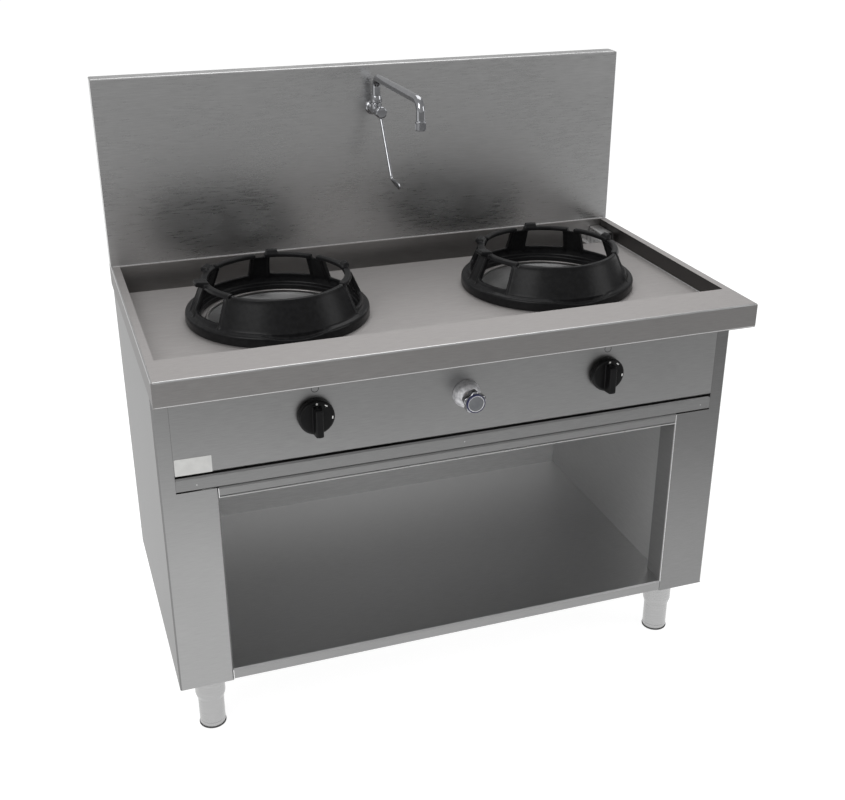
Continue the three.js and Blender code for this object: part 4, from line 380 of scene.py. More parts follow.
@dataclass(frozen=True)
class TurnedBrass(Finish):
    """Bar brass, turned and left bare: yellow, with turning lines and a brown bloom."""

    def values(self, tree: Tree) -> dict[str, object]:
        """Lines 0.7 mm apart along the turning axis, and the bloom in patches of 14 mm."""
        lines = object_pattern(tree, (60.0, 1500.0, 60.0), 1.0)
        bloom = object_pattern(tree, 70.0, 3.0)
        return {
            "Base Color": blended(tree, spread(tree, bloom), "#a3834a", "#c9a862"),
            "Metallic": 1.0,
            "Roughness": spread(tree, lines, 0.26, 0.40),
        }


@dataclass(frozen=True)
class MouldedPlastic(Finish):
    """Moulded plastic, rubber, print or lacquer: even colour with a fine texture 0.5 mm across."""

    light: str
    dark: str
    roughness: float
    texture_mm: float
    relief: float
    shine: float = 0.5

    def values(self, tree: Tree) -> dict[str, object]:
        """One fine texture for relief, and patches of 17 mm for handling marks."""
        texture = object_pattern(tree, cells(self.texture_mm), 1.0)
        patches = object_pattern(tree, 60.0, 2.0)
        return {
            "Base Color": blended(tree, spread(tree, patches), self.dark, self.light),
            "Roughness": spread(tree, patches, self.roughness - 0.05, self.roughness + 0.05),
            "Specular IOR Level": self.shine,
            "Normal": bumped(tree, texture, self.relief, 0.03),
        }


LEFTWARD, FORWARD, UPWARD = (-1, 0, 0), (0, -1, 0), (0, 0, 1)

# Satin steels: upright sheets are brushed level, the worktop and the shelf along their length.
# They are one steel; each sheet's grey and gloss are set to its tone under the light, so the
# differing greys are painted light and shade.
SATIN = BrushedSteel("brushed_stainless_sheet", "#a6a6a6", "#9d9d9d")
SATIN_RAIL = BrushedSteel("brushed_stainless_rail", "#9a9a9a", "#919191")
# The left side's leftward faces are darker: painted shade.
SATIN_LEFT = BrushedSteel(
    "brushed_stainless_left_side",
    "#a6a6a6",
    "#9e9e9e",
    lit_facets=(LitFacet(LEFTWARD, "#636363", "#5d5d5d", 0.36),),
)
# The right side's leftward faces are lighter: painted light.
SATIN_RIGHT = BrushedSteel(
    "brushed_stainless_right_side",
    "#8b8b8b",
    "#838383",
    lit_facets=(LitFacet(LEFTWARD, "#a8a8a8", "#a0a0a0", 0.60),),
)
SATIN_INNER = BrushedSteel("brushed_stainless_inside", "#e0e0e0", "#d6d6d6", 0.62)
# The rear panel's forward faces are near white: painted light.
SATIN_BACK = BrushedSteel(
    "brushed_stainless_back",
    "#b2b2b2",
    "#a9a9a9",
    lit_facets=(LitFacet(FORWARD, "#fafafa", "#f0f0f0", 0.66),),
)
# The shelf's upward faces are lighter: painted light; towards the back it turns white: a painted
# reflection of the back wall.
SATIN_SHELF = BrushedSteel(
    "brushed_stainless_shelf",
    "#9b9b9b",
    "#939393",
    0.40,
    Grain.ALONG_X,
    (LitFacet(UPWARD, "#d8d8d8", "#cecece", 0.36),),
    PaintedReflection(0.0, 400.0, "#ffffff"),
)
# The worktop's upward faces are lighter and its leftward faces darker: painted light and shade.
SATIN_PAN = BrushedSteel(
    "brushed_stainless_worktop",
    "#a4a2a1",
    "#9b9998",
    0.38,
    Grain.ALONG_X,
    (LitFacet(UPWARD, "#b2afae", "#a9a6a5", 0.68), LitFacet(LEFTWARD, "#575554", "#52504f", 0.40)),
)
SATIN_PLATE = BrushedSteel("pressed_stainless_plate", "#d6d6d6", "#cccccc", 0.34)
SATIN_BRIGHT = BrushedSteel("brushed_stainless_splashback", "#c4c4c4", "#bababa", 0.30)
SATIN_WELL = BrushedSteel("spun_stainless_well", "#868686", "#7c7c7c", 0.42)
# Painted highlight: the bright steel of thin tubes along the cupboard opening's edges.
EDGE_HIGHLIGHT = BrushedSteel("painted_edge_highlight", "#f0f0f0", "#e4e4e4", 0.30)
# Painted highlight: the lighter steel of the rounded folds stands for light along each bend.
FOLD_HIGHLIGHT = BrushedSteel("painted_fold_highlight", "#c6c6c6", "#bababa", 0.34)
TUBE_STEEL = BrushedSteel("turned_stainless_tube", "#b0b0b0", "#a6a6a6", 0.24, streak_mm=1.0)
WELD = BrushedSteel("ground_weld_bead", "#dedede", "#bdbdbd", 0.34, streak_length_mm=5.0)
ZINC = ZincSheet("galvanised_sheet")
IRON = EnamelledIron("black_enamelled_cast_iron")
CHROME = PolishedChrome("chrome_on_brass")
# Lighter than bare chrome: painted light on the bell and the index hoop.
CHROME_SATIN = PolishedChrome("satin_chrome", "#f6f6f8", 0.62)
BRASS = TurnedBrass("turned_brass")
KNOB_BLACK = MouldedPlastic("black_phenolic", "#131314", "#0d0d0e", 0.36, 0.4, 0.15, 0.2)
RUBBER = MouldedPlastic("black_rubber", "#171717", "#0e0e0e", 0.62, 0.8, 0.3)
PRINT_WHITE = MouldedPlastic("white_print", "#f2f2f0", "#e8e8e6", 0.5, 0.5, 0.05)
PRINT_GREY = MouldedPlastic("grey_print", "#5a5a5c", "#505052", 0.5, 0.5, 0.05)
PLATE_WHITE = MouldedPlastic("white_lacquered_plate", "#dcdcda", "#d2d2d0", 0.42, 0.5, 0.05)
INDEX_GREY = MouldedPlastic("grey_index_insert", "#77797c", "#6a6c70", 0.34, 0.5, 0.03)
INDEX_BLUE = MouldedPlastic("dark_blue_index_rim", "#2c2e55", "#232545", 0.30, 0.5, 0.03)


# ---------------------------------------------------------------- mesh helpers

EASE_SHARE = 0.4  # of a side, at most, that a rounded corner takes
BEND_SHARE = 0.48  # of a leg, at most, that a bend takes


def eased(corners: Sequence[Point2], radius: float, steps: int = 4) -> list[Point2]:
    """Rounds the corners of a closed outline.

    Args:
        corners: The outline's corners, in order.
        radius: How far each corner is cut back along its sides, at most two fifths of a side.
        steps: Points on each rounded corner, less one.

    Returns:
        The new outline. Corners on the turning axis stay sharp.
    """
    out: list[Point2] = []
    for i, corner in enumerate(corners):
        here = Vector(corner)
        if abs(here.x) < 1e-6:
            out.append((here.x, here.y))
            continue
        a = Vector(corners[i - 1]) - here
        b = Vector(corners[(i + 1) % len(corners)]) - here
        reach = min(radius, EASE_SHARE * a.length, EASE_SHARE * b.length)
        start, end = here + a.normalized() * reach, here + b.normalized() * reach
        for k in range(steps + 1):
            t = k / steps
            p = start * (1 - t) ** 2 + here * 2 * t * (1 - t) + end * t**2
            out.append((p.x, p.y))
    return out


def bent(corners: Sequence[Point3], radius: float, steps: int) -> list[Vector]:
    """The centreline of a bar bent at each corner by a radius."""
    points = [Vector(c) for c in corners]
    out = [points[0]]
    for before, here, after in zip(points, points[1:], points[2:]):
        a, b = (before - here).normalized(), (after - here).normalized()
        half = a.angle(b) / 2
        room = BEND_SHARE * min((before - here).length, (after - here).length)
        reach = min(radius / math.tan(half), room)
        bend = reach * math.tan(half)
        middle = here + (a + b).normalized() * (bend / math.sin(half))
        start, end = here + a * reach - middle, here + b * reach - middle
        for k in range(steps + 1):
            out.append(middle + start.slerp(end, k / steps).normalized() * bend)
    out.append(points[-1])
    return out


def circle_outline(
    radius: float, segments: int, centre: Point2 = (0.0, 0.0), start: float = 0.0
) -> list[Point2]:
    """Points round a circle, from a start angle in degrees."""
    angles = [math.radians(start) + k * (math.tau / segments) for k in range(segments)]
    return [(centre[0] + radius * math.cos(a), centre[1] + radius * math.sin(a)) for a in angles]


def rectangle(low: Point2, high: Point2) -> list[Point2]:
    """The corners of an upright rectangle."""
    return [(low[0], low[1]), (high[0], low[1]), (high[0], high[1]), (low[0], high[1])]


def shifted(profile: Sequence[Point2], base: float) -> list[Point2]:
    """A profile of (radius, height) points with its heights counted from a base."""
    return [(r, base + height) for r, height in profile]


def link_piece(name: str, mesh: bpy.types.Mesh) -> Piece:
    """An object with this mesh, in the scene."""
    piece = bpy.data.objects.new(name, mesh)
    bpy.context.scene.collection.objects.link(piece)
    return piece


class Form:
    """Closed forms gathered in one mesh, in millimetres."""

    def __init__(self) -> None:
        """Starts with nothing."""
        self.points: list[Point3] = []
        self.faces: list[tuple[int, ...]] = []

    def add(self, points: Iterable[Sequence[float]], faces: Iterable[Sequence[int]]) -> "Form":
        """Adds points and the faces on them."""
        base = len(self.points)
        self.points.extend(tuple(p) for p in points)
        self.faces.extend(tuple(base + i for i in face) for face in faces)
        return self

    def stacked(self, rows: Sequence[Sequence[Sequence[float]]], ring: bool = False) -> "Form":
        """Skins a row of loops that have equally many points.

        Args:
            rows: The loops, in order.
            ring: The last loop joins the first. Otherwise both ends are capped.

        Returns:
            This form.
        """
        size, count = len(rows[0]), len(rows)
        faces: list[tuple[int, ...]] = []
        for i in range(count if ring else count - 1):
            low, high = i * size, (i + 1) % count * size
            for k in range(size):
                m = (k + 1) % size
                faces.append((low + k, low + m, high + m, high + k))
        if not ring:
            faces.append(tuple(range(size)))
            faces.append(tuple((count - 1) * size + k for k in reversed(range(size))))
        return self.add([point for row in rows for point in row], faces)

    def turned(
        self,
        profile: Sequence[Point2],
        centre: Point2,
        axis: Axis = Axis.Z,
        segments: int = 96,
        span: Point2 = (0.0, 360.0),
    ) -> "Form":
        """Turns a closed profile of (radius, height) points about an axis.

        Args:
            profile: The closed profile.
            centre: Where the axis passes, in the two other coordinates.
            axis: The turning axis.
            segments: Steps round a full turn.
            span: Start and end angle in degrees; ends are capped unless the turn is full.

        Returns:
            This form.
        """
        turn = span[1] - span[0]
        steps = max(2, round(segments * turn / 360))
        full = turn >= 360
        rows = []
        for i in range(steps if full else steps + 1):
            angle = math.radians(span[0] + turn * i / steps)
            c, s = math.cos(angle), math.sin(angle)
            rows.append([axis.place(centre[0] + r * c, centre[1] + r * s, h) for r, h in profile])
        return self.stacked(rows, full)

    def prism(self, outline: Sequence[Point2], axis: Axis, start: float, end: float) -> "Form":
        """Runs a closed outline along an axis."""
        return self.stacked([[axis.place(u, v, at) for u, v in outline] for at in (start, end)])

    def swept(
        self, path: Sequence[Vector], section: Callable[[float], Sequence[Point2]]
    ) -> "Form":
        """Sweeps a section along a path without twist.

        Args:
            path: Points of the centreline.
            section: Gives the section's points at a share of the path, from 0 to 1.

        Returns:
            This form.
        """
        last = len(path) - 1
        spans = [path[min(i + 1, last)] - path[max(i - 1, 0)] for i in range(last + 1)]
        ways = [span.normalized() for span in spans]
        side = ways[0].orthogonal().normalized()
        if abs(ways[0].x) < 0.9:
            side = (Vector((1, 0, 0)) - ways[0] * ways[0].x).normalized()
        rows = []
        for i, (here, way) in enumerate(zip(path, ways)):
            if i:
                side = ways[i - 1].rotation_difference(way) @ side
            up = way.cross(side)
            rows.append([here + side * u + up * v for u, v in section(i / last)])
        return self.stacked(rows)

    def tube(self, path: Sequence[Sequence[float]], radius: float, segments: int) -> "Form":
        """Sweeps a circle along a path."""
        circle = circle_outline(radius, segments)
        return self.swept([Vector(point) for point in path], lambda share: circle)

    def window(
        self, outline: Sequence[Point2], centre: Point2, inner: float, outer: float
    ) -> "Form":
        """A block through a round wall: its outline holds (degrees, height) points."""
        turns = [(math.radians(degrees), z) for degrees, z in outline]
        return self.stacked(
            [
                [(centre[0] + r * math.cos(a), centre[1] + r * math.sin(a), z) for a, z in turns]
                for r in (inner, outer)
            ]
        )

    def radial_plate(
        self, outline: Sequence[Point2], centre: Point2, angle: float, thickness: float
    ) -> "Form":
        """A plate in an upright plane through a vertical axis, of (radius, height) points."""
        a = math.radians(angle)
        out = Vector((math.cos(a), math.sin(a), 0))
        aside = Vector((-math.sin(a), math.cos(a), 0)) * (thickness / 2)
        middle = Vector((centre[0], centre[1], 0))
        return self.stacked(
            [
                [middle + out * r + Vector((0, 0, z)) + aside * way for r, z in outline]
                for way in SIDES
            ]
        )

    def made(self, name: str) -> Piece:
        """Makes the object, in metres, with its points merged and its faces outwards."""
        mesh = bpy.data.meshes.new(name)
        mesh.from_pydata([tuple(c * MM for c in p) for p in self.points], [], self.faces)
        work = bmesh.new()
        work.from_mesh(mesh)
        bmesh.ops.remove_doubles(work, verts=work.verts, dist=1e-6)
        bmesh.ops.dissolve_degenerate(work, edges=work.edges, dist=1e-7)
        bmesh.ops.recalc_face_normals(work, faces=work.faces)
        work.to_mesh(mesh)
        work.free()
        return link_piece(name, mesh)

    def keep(
        self,
        name: str,
        finish: Finish,
        body: str,
        slot: str,
        *stands_for: str,
        sharp: float | None = 35.0,
    ) -> Piece:
        """Makes the object and gives it its finish and place, as finished does."""
        return finished(self.made(name), finish, body, slot, *stands_for, sharp=sharp)


def bake_modifiers(piece: Piece) -> Piece:
    """Puts what the modifiers make into the object's own mesh and takes them off."""
    graph = bpy.context.evaluated_depsgraph_get()
    graph.update()
    made = bpy.data.meshes.new_from_object(piece.evaluated_get(graph))
    piece.modifiers.clear()
    old = piece.data
    piece.data = made
    made.name = piece.name
    bpy.data.meshes.remove(old)
    return piece


def cut_by(piece: Piece, tool: Piece) -> None:
    """Takes the tool's form out of the piece and removes the tool."""
    boolean = piece.modifiers.new("cut", "BOOLEAN")
    boolean.operation = "DIFFERENCE"
    boolean.solver = "EXACT"
    boolean.object = tool
    bake_modifiers(piece)
    bpy.data.objects.remove(tool)


def join_to(piece: Piece, other: Piece) -> None:
    """Adds another object's faces to the piece's mesh and removes the other."""
    work = bmesh.new()
    work.from_mesh(piece.data)
    work.from_mesh(other.data)
    work.to_mesh(piece.data)
    work.free()
    bpy.data.objects.remove(other)


def cast_over(piece: Piece, voxel: float, passes: int = 3) -> Piece:
    """Melts overlapping forms into one skin with soft edges, as a mould gives.

    Args:
        piece: The object that holds the forms.
        voxel: The skin's cell, in millimetres.
        passes: Smoothing passes.

    Returns:
        The same object.
    """
    remesh = piece.modifiers.new("skin", "REMESH")
    remesh.mode = "VOXEL"
    remesh.voxel_size = voxel * MM
    remesh.adaptivity = 0.0
    smooth = piece.modifiers.new("soft", "SMOOTH")
    smooth.factor = 0.5
    smooth.iterations = passes
    bake_modifiers(piece)
    piece.data.shade_smooth()
    return piece


def finished(
    piece: Piece,
    finish: Finish,
    body: str,
    slot: str,
    *stands_for: str,
    sharp: float | None = 35.0,
) -> Piece:
    """Gives a piece its finish and its place in the frame.

    Args:
        piece: The object, its modifiers already baked.
        finish: The finish of the whole piece.
        body: The body that it rides on.
        slot: The record's material slot. Not used.
        stands_for: Nodes of the frame that it replaces.
        sharp: Edges that turn more than this many degrees stay sharp. None leaves the shading.

    Returns:
        The same object.
    """
    piece.data.materials.clear()
    piece.data.materials.append(finish.material())
    if sharp is not None:
        piece.data.shade_smooth()
        piece.data.set_sharp_from_angle(angle=math.radians(sharp))
    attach(piece, body)
    if stands_for:
        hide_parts(*stands_for)
    LOG.info("%s: %d faces, rides on %s", piece.name, len(piece.data.polygons), body)
    return piece


def dress(finish: Finish, *names: str) -> None:
    """Gives nodes of the frame a finish."""
    for name in names:
        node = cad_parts[name]
        node.data.materials.clear()
        node.data.materials.append(finish.material())
        LOG.info("%s: dressed in %s", name, finish.name)


# ---------------------------------------------------------------- repeated pieces by node trees

SOCKET_KINDS = {float: "NodeSocketFloat", int: "NodeSocketInt", tuple: "NodeSocketVector"}


class Scatter:
    """A node tree that sets the same small form on each point of a mesh."""

    def __init__(self, name: str, sizes: dict[str, float | int | Point3]) -> None:
        """Starts a tree with its points, its named sizes and its output.

        Args:
            name: The tree's name.
            sizes: The named inputs, with their defaults.
        """
        self.tree = bpy.data.node_groups.new(name, "GeometryNodeTree")
        self.sockets: dict[str, str] = {}
        shown = self.tree.interface
        shown.new_socket("Points", in_out="INPUT", socket_type="NodeSocketGeometry")
        shown.new_socket("Geometry", in_out="OUTPUT", socket_type="NodeSocketGeometry")
        for label, value in sizes.items():
            kind = SOCKET_KINDS[type(value)]
            item = shown.new_socket(label, in_out="INPUT", socket_type=kind)
            item.default_value = value
            self.sockets[label] = item.identifier
        self.given = self.add("NodeGroupInput").outputs

    def add(
        self, kind: str, inputs: dict[str | int, object] | None = None, **settings: object
    ) -> bpy.types.Node:
        """Adds a node to this tree."""
        return add_node(self.tree, kind, inputs, **settings)

    def on_points(self, mesh: Socket, form: Socket, **inputs: object) -> Socket:
        """Sets a form on each point of a mesh and gives the instances."""
        points = self.add("GeometryNodeMeshToPoints", {"Mesh": mesh}).outputs["Points"]
        given = {"Points": points, "Instance": form, **inputs}
        return self.add("GeometryNodeInstanceOnPoints", given).outputs["Instances"]

    def close(self, instances: Socket, finish: Finish) -> None:
        """Makes the instances real, gives them their material and ends the tree."""
        real = self.add("GeometryNodeRealizeInstances", {"Geometry": instances})
        inputs = {"Geometry": real.outputs["Geometry"], "Material": finish.material()}
        dressed = self.add("GeometryNodeSetMaterial", inputs)
        self.add("NodeGroupOutput", {"Geometry": dressed.outputs["Geometry"]})

    def apply(self, name: str, points: Sequence[Point3], values: dict[str, object]) -> Piece:
        """Runs the tree on bare points and keeps its result as a plain mesh.

        Args:
            name: The new object's name.
            points: Where the forms stand, in millimetres.
            values: Values for the tree's inputs, by name. Lengths are in metres.

        Returns:
            The new object.
        """
        mesh = bpy.data.meshes.new(name)
        mesh.from_pydata([tuple(c * MM for c in p) for p in points], [], [])
        piece = link_piece(name, mesh)
        modifier = piece.modifiers.new(self.tree.name, "NODES")
        modifier.node_group = self.tree
        for label, value in values.items():
            modifier[self.sockets[label]] = value
        return bake_modifiers(piece)


def head_scatter(finish: Finish) -> Scatter:
    """The tree for screw heads and other round buttons that stand on a flat face.

    Each head is a low dome with a flat-bottomed socket, turned at random about its own axis.

    Args:
        finish: The heads' finish.

    Returns:
        The tree, with inputs for the head's sizes, its facing and its seed.
    """
    sizes = {"Head Radius": 0.004, "Head Height": 0.0022, "Socket Radius": 0.0016}
    sizes |= {"Facing": (0.0, 0.0, 0.0), "Seed": 7}
    scatter = Scatter(f"heads_in_{finish.name}", sizes)
    given, add = scatter.given, scatter.add
    radius, height = given["Head Radius"], given["Head Height"]
    ball = add("GeometryNodeMeshUVSphere", {"Segments": 20, "Rings": 10, "Radius": 1.0})
    shape = add("ShaderNodeCombineXYZ", {"X": radius, "Y": radius, "Z": height})
    inputs = {"Geometry": ball.outputs["Mesh"], "Scale": shape.outputs[0]}
    dome = add("GeometryNodeTransform", inputs)
    inputs = {"Vertices": 6, "Radius": given["Socket Radius"], "Depth": height}
    socket = add("GeometryNodeMeshCylinder", inputs)
    lift = add("ShaderNodeCombineXYZ", {"Z": height})
    inputs = {"Geometry": socket.outputs["Mesh"], "Translation": lift.outputs[0]}
    raised = add("GeometryNodeTransform", inputs)
    inputs = {"Mesh 1": dome.outputs["Geometry"], "Mesh 2": raised.outputs["Geometry"]}
    head = add("GeometryNodeMeshBoolean", inputs, operation="DIFFERENCE").outputs["Mesh"]
    heads = scatter.on_points(given["Points"], head, Rotation=given["Facing"])
    inputs = {"Max": math.tau, "Seed": given["Seed"]}
    turn = add("FunctionNodeRandomValue", inputs, data_type="FLOAT")
    spin = add("ShaderNodeCombineXYZ", {"Z": turn.outputs[1]})
    inputs = {"Instances": heads, "Rotation": spin.outputs[0], "Local Space": True}
    scatter.close(add("GeometryNodeRotateInstances", inputs).outputs["Instances"], finish)
    return scatter


def flute_scatter(finish: Finish) -> Scatter:
    """The tree for upright bars in a ring about each point.

    Args:
        finish: The bars' finish.

    Returns:
        The tree, with inputs for the ring's radius and the bars' radius, length and count.
    """
    sizes = {"Ring Radius": 0.011, "Flute Radius": 0.0005, "Flute Length": 0.009, "Count": 36}
    scatter = Scatter(f"flutes_in_{finish.name}", sizes)
    given, add = scatter.given, scatter.add
    inputs = {"Vertices": given["Count"], "Radius": given["Ring Radius"]}
    ring = add("GeometryNodeMeshCircle", inputs)
    inputs = {"Vertices": 8, "Radius": given["Flute Radius"], "Depth": given["Flute Length"]}
    flute = add("GeometryNodeMeshCylinder", inputs)
    crown = scatter.on_points(ring.outputs["Mesh"], flute.outputs["Mesh"])
    scatter.close(scatter.on_points(given["Points"], crown), finish)
    return scatter


# ---------------------------------------------------------------- casing


@dataclass
class Casing:
    """Worktop, splashback and cabinet: the frame's folded sheets, with fold edges and welds."""

    fold_radius: float = 3.0
    fold_sheet: float = 0.7
    proud: float = 0.06
    half_width: float = 600.0
    depth: float = 350.0
    fascia_bottom: float = 810.0
    splash_front: float = 310.0
    splash_top: float = 1260.0
    pan_side: float = 581.5
    pan_front: float = -250.0
    gutter_front: float = 229.0
    weld_radius: float = 1.3
    weld_sides: int = 12
    opening_edge: float = 488.5
    opening_top: float = 575.2
    opening_low: float = 176.0
    shelf_low: float = 151.0
    # Sizes of the thin tubes of painted highlight along the opening's edges.
    highlight_radius: float = 0.9
    highlight_sides: int = 10
    highlight_rise: float = 20.0

    def dress_sheets(self) -> None:
        """Gives each sheet its metal."""
        dress(SATIN_PAN, "worktop")
        dress(SATIN_BRIGHT, "splashback", "splashback_back_cover")
        dress(SATIN, "control_panel")
        dress(SATIN_RAIL, "front_rail", "cupboard_ceiling")
        dress(SATIN_LEFT, "left_side_panel")
        dress(SATIN_RIGHT, "right_side_panel")
        dress(SATIN_BACK, "rear_panel")
        dress(SATIN_INNER, "left_inner_side", "right_inner_side")
        dress(SATIN_SHELF, "bottom_shelf")
        dress(ZINC, "front_bearer", "rear_bearer", "left_base_channel", "right_base_channel")

    def _quarter(self, centre: Point2, signs: Point2, steps: int = 6) -> list[Point2]:
        """A thin quarter ring about a fold's centre, opening towards the signs."""
        outer, inner = self.fold_radius + self.proud, self.fold_radius - self.fold_sheet
        angles = [math.pi / 2 * k / steps for k in range(steps + 1)]
        return [
            (centre[0] + signs[0] * r * math.cos(a), centre[1] + signs[1] * r * math.sin(a))
            for r, order in ((outer, angles), (inner, angles[::-1]))
            for a in order
        ]

    def _rounded_rim(self, folds: Form, front: float, top: float) -> None:
        """Rounds both side folds of a sheet that runs from a front to the back."""
        run = self.half_width - self.fold_radius
        for side in SIDES:
            folds.prism(self._quarter((side * run, top), (side, 1)), Axis.Y, front, self.depth)

    def fold_edges(self) -> None:
        """Rounds the visible folds, which the frame's sheets have as single flats, in a lighter
        steel: a painted highlight along each bend.
        """
        r = self.fold_radius
        run, front = self.half_width - r, -self.depth + r
        folds = Form()
        for height, way in ((WORKTOP_TOP - r, 1), (self.fascia_bottom + r, -1)):
            folds.prism(self._quarter((front, height), (-1, way)), Axis.X, -run, run)
        self._rounded_rim(folds, front, WORKTOP_TOP - r)
        folds.keep("worktop_fold_edges", FOLD_HIGHLIGHT, "cabinet", "pan_steel")
        splash, front, crown = Form(), self.splash_front + r, self.splash_top - r
        splash.prism(self._quarter((front, crown), (-1, 1)), Axis.X, -run, run)
        self._rounded_rim(splash, front, crown)
        splash.keep("splashback_fold_edges", FOLD_HIGHLIGHT, "cabinet", "brushed_steel")

    def edge_highlights(self) -> None:
        """Painted highlights along the cupboard opening's edges, as thin bright tubes; its left
        edge only where it shows.
        """
        highlights = Form()
        edge, top, low = self.opening_edge, self.opening_top, self.opening_low
        front = CABINET_FRONT - 0.1
        for x0, z0, x1, z1 in (
            (-edge, top, edge, top),
            (edge, low, edge, top + self.highlight_rise),
            (-edge, top, -edge, top + self.highlight_rise),
            (-edge, self.shelf_low, -edge, low),
        ):
            highlights.tube([(x0, front, z0), (x1, front, z1)], self.highlight_radius, self.highlight_sides)
        highlights.keep("opening_edge_highlights", EDGE_HIGHLIGHT, "cabinet", "brushed_steel")

    def weld_beads(self) -> None:
        """Ground welds where the pan's walls meet its floor, and in front of the splashback."""
        beads, r = Form(), self.weld_radius
        side, front = self.pan_side - 0.4, self.pan_front + 0.4
        top, floor = WORKTOP_TOP - 1.5, PAN_FLOOR + 0.3
        for x in (-side, side):
            corner = (x, front, floor)
            beads.tube([corner, (x, self.gutter_front, floor)], r, self.weld_sides)
            beads.tube([corner, (x, front, top)], r, self.weld_sides)
        path = [(-side, front, floor), (side, front, floor)]
        beads.tube(path, r * 0.7, self.weld_sides)
        line, seam = self.splash_front - 0.2, WORKTOP_TOP + 0.2
        run = self.half_width - 4
        beads.tube([(-run, line, seam), (run, line, seam)], r, self.weld_sides)
        beads.keep("worktop_weld_beads", WELD, "cabinet", "pan_steel")

    def screws(self) -> None:
        """Pan-head screws that hold the rear panel and the splashback's cover."""
        back, cover = self.depth - 2.5, self.depth - 1.5
        xs = (-580.0, -300.0, 0.0, 300.0, 580.0)
        points = [(x, back, z) for x in xs for z in (165.0, 842.0)]
        points += [(x, back, z) for x in (-588.0, 588.0) for z in (340.0, 500.0, 660.0)]
        points += [(x, cover, z) for x in xs[1:4] for z in (880.0, 1225.0)]
        points += [(x, cover, z) for x in (-565.0, 565.0) for z in (880.0, 1050.0, 1225.0)]
        values = {"Head Radius": 4.0 * MM, "Head Height": 1.9 * MM, "Socket Radius": 1.6 * MM}
        values |= {"Facing": (-math.pi / 2, 0.0, 0.0), "Seed": 11}
        piece = head_scatter(CHROME).apply("rear_panel_screws", points, values)
        finished(piece, CHROME, "cabinet", "chrome")

    def make(self) -> None:
        """Dresses the sheets and adds their folds, edge highlights, welds and screws."""
        self.dress_sheets()
        self.fold_edges()
        self.edge_highlights()
        self.weld_beads()
        self.screws()


@dataclass
class FrontDetails:
    """What is fixed to or printed on the control panel and the rail below it."""

    ring_radius: float = 7.0
    ring_line: float = 1.3
    ring_marks: tuple[Point2, ...] = ((-295.6, 771.7), (313.5, 770.0))
    plate_low: Point2 = (-566.0, 633.0)
    plate_high: Point2 = (-497.0, 667.0)
    plate_thickness: float = 0.8
    spots: tuple[Point3, ...] = ((-528.0, 609.5, 1.6), (6.0, 611.0, 1.4), (545.0, 609.5, 1.6))

    def make(self) -> None:
        """Builds the marks, the blank plate and the spot welds."""
        face, half = CABINET_FRONT, self.ring_line / 2
        marks, spots = Form(), Form()
        inner, outer = self.ring_radius - half, self.ring_radius + half
        line = shifted([(inner, 0.2), (outer, 0.2), (outer, -0.15), (inner, -0.15)], face)
        for place in self.ring_marks:
            marks.turned(line, place, Axis.Y, 48)
        marks.keep("burner_marks", PRINT_GREY, "cabinet", "black_plastic")
        outline = eased(rectangle(self.plate_low, self.plate_high), 1.2, 3)
        plate = Form().prism(outline, Axis.Y, face + 0.1, face - self.plate_thickness)
        plate.keep("blank_plate", PLATE_WHITE, "cabinet", "index_plastic")
        for x, z, r in self.spots:
            dome = shifted([(0.0, 0.2), (r, 0.1), (r * 0.6, -0.3), (0.0, -0.4)], face)
            spots.turned(dome, (x, z), Axis.Y, 16)
        spots.keep("rail_spot_welds", WELD, "cabinet", "brushed_steel")


# ---------------------------------------------------------------- wok rings and burners


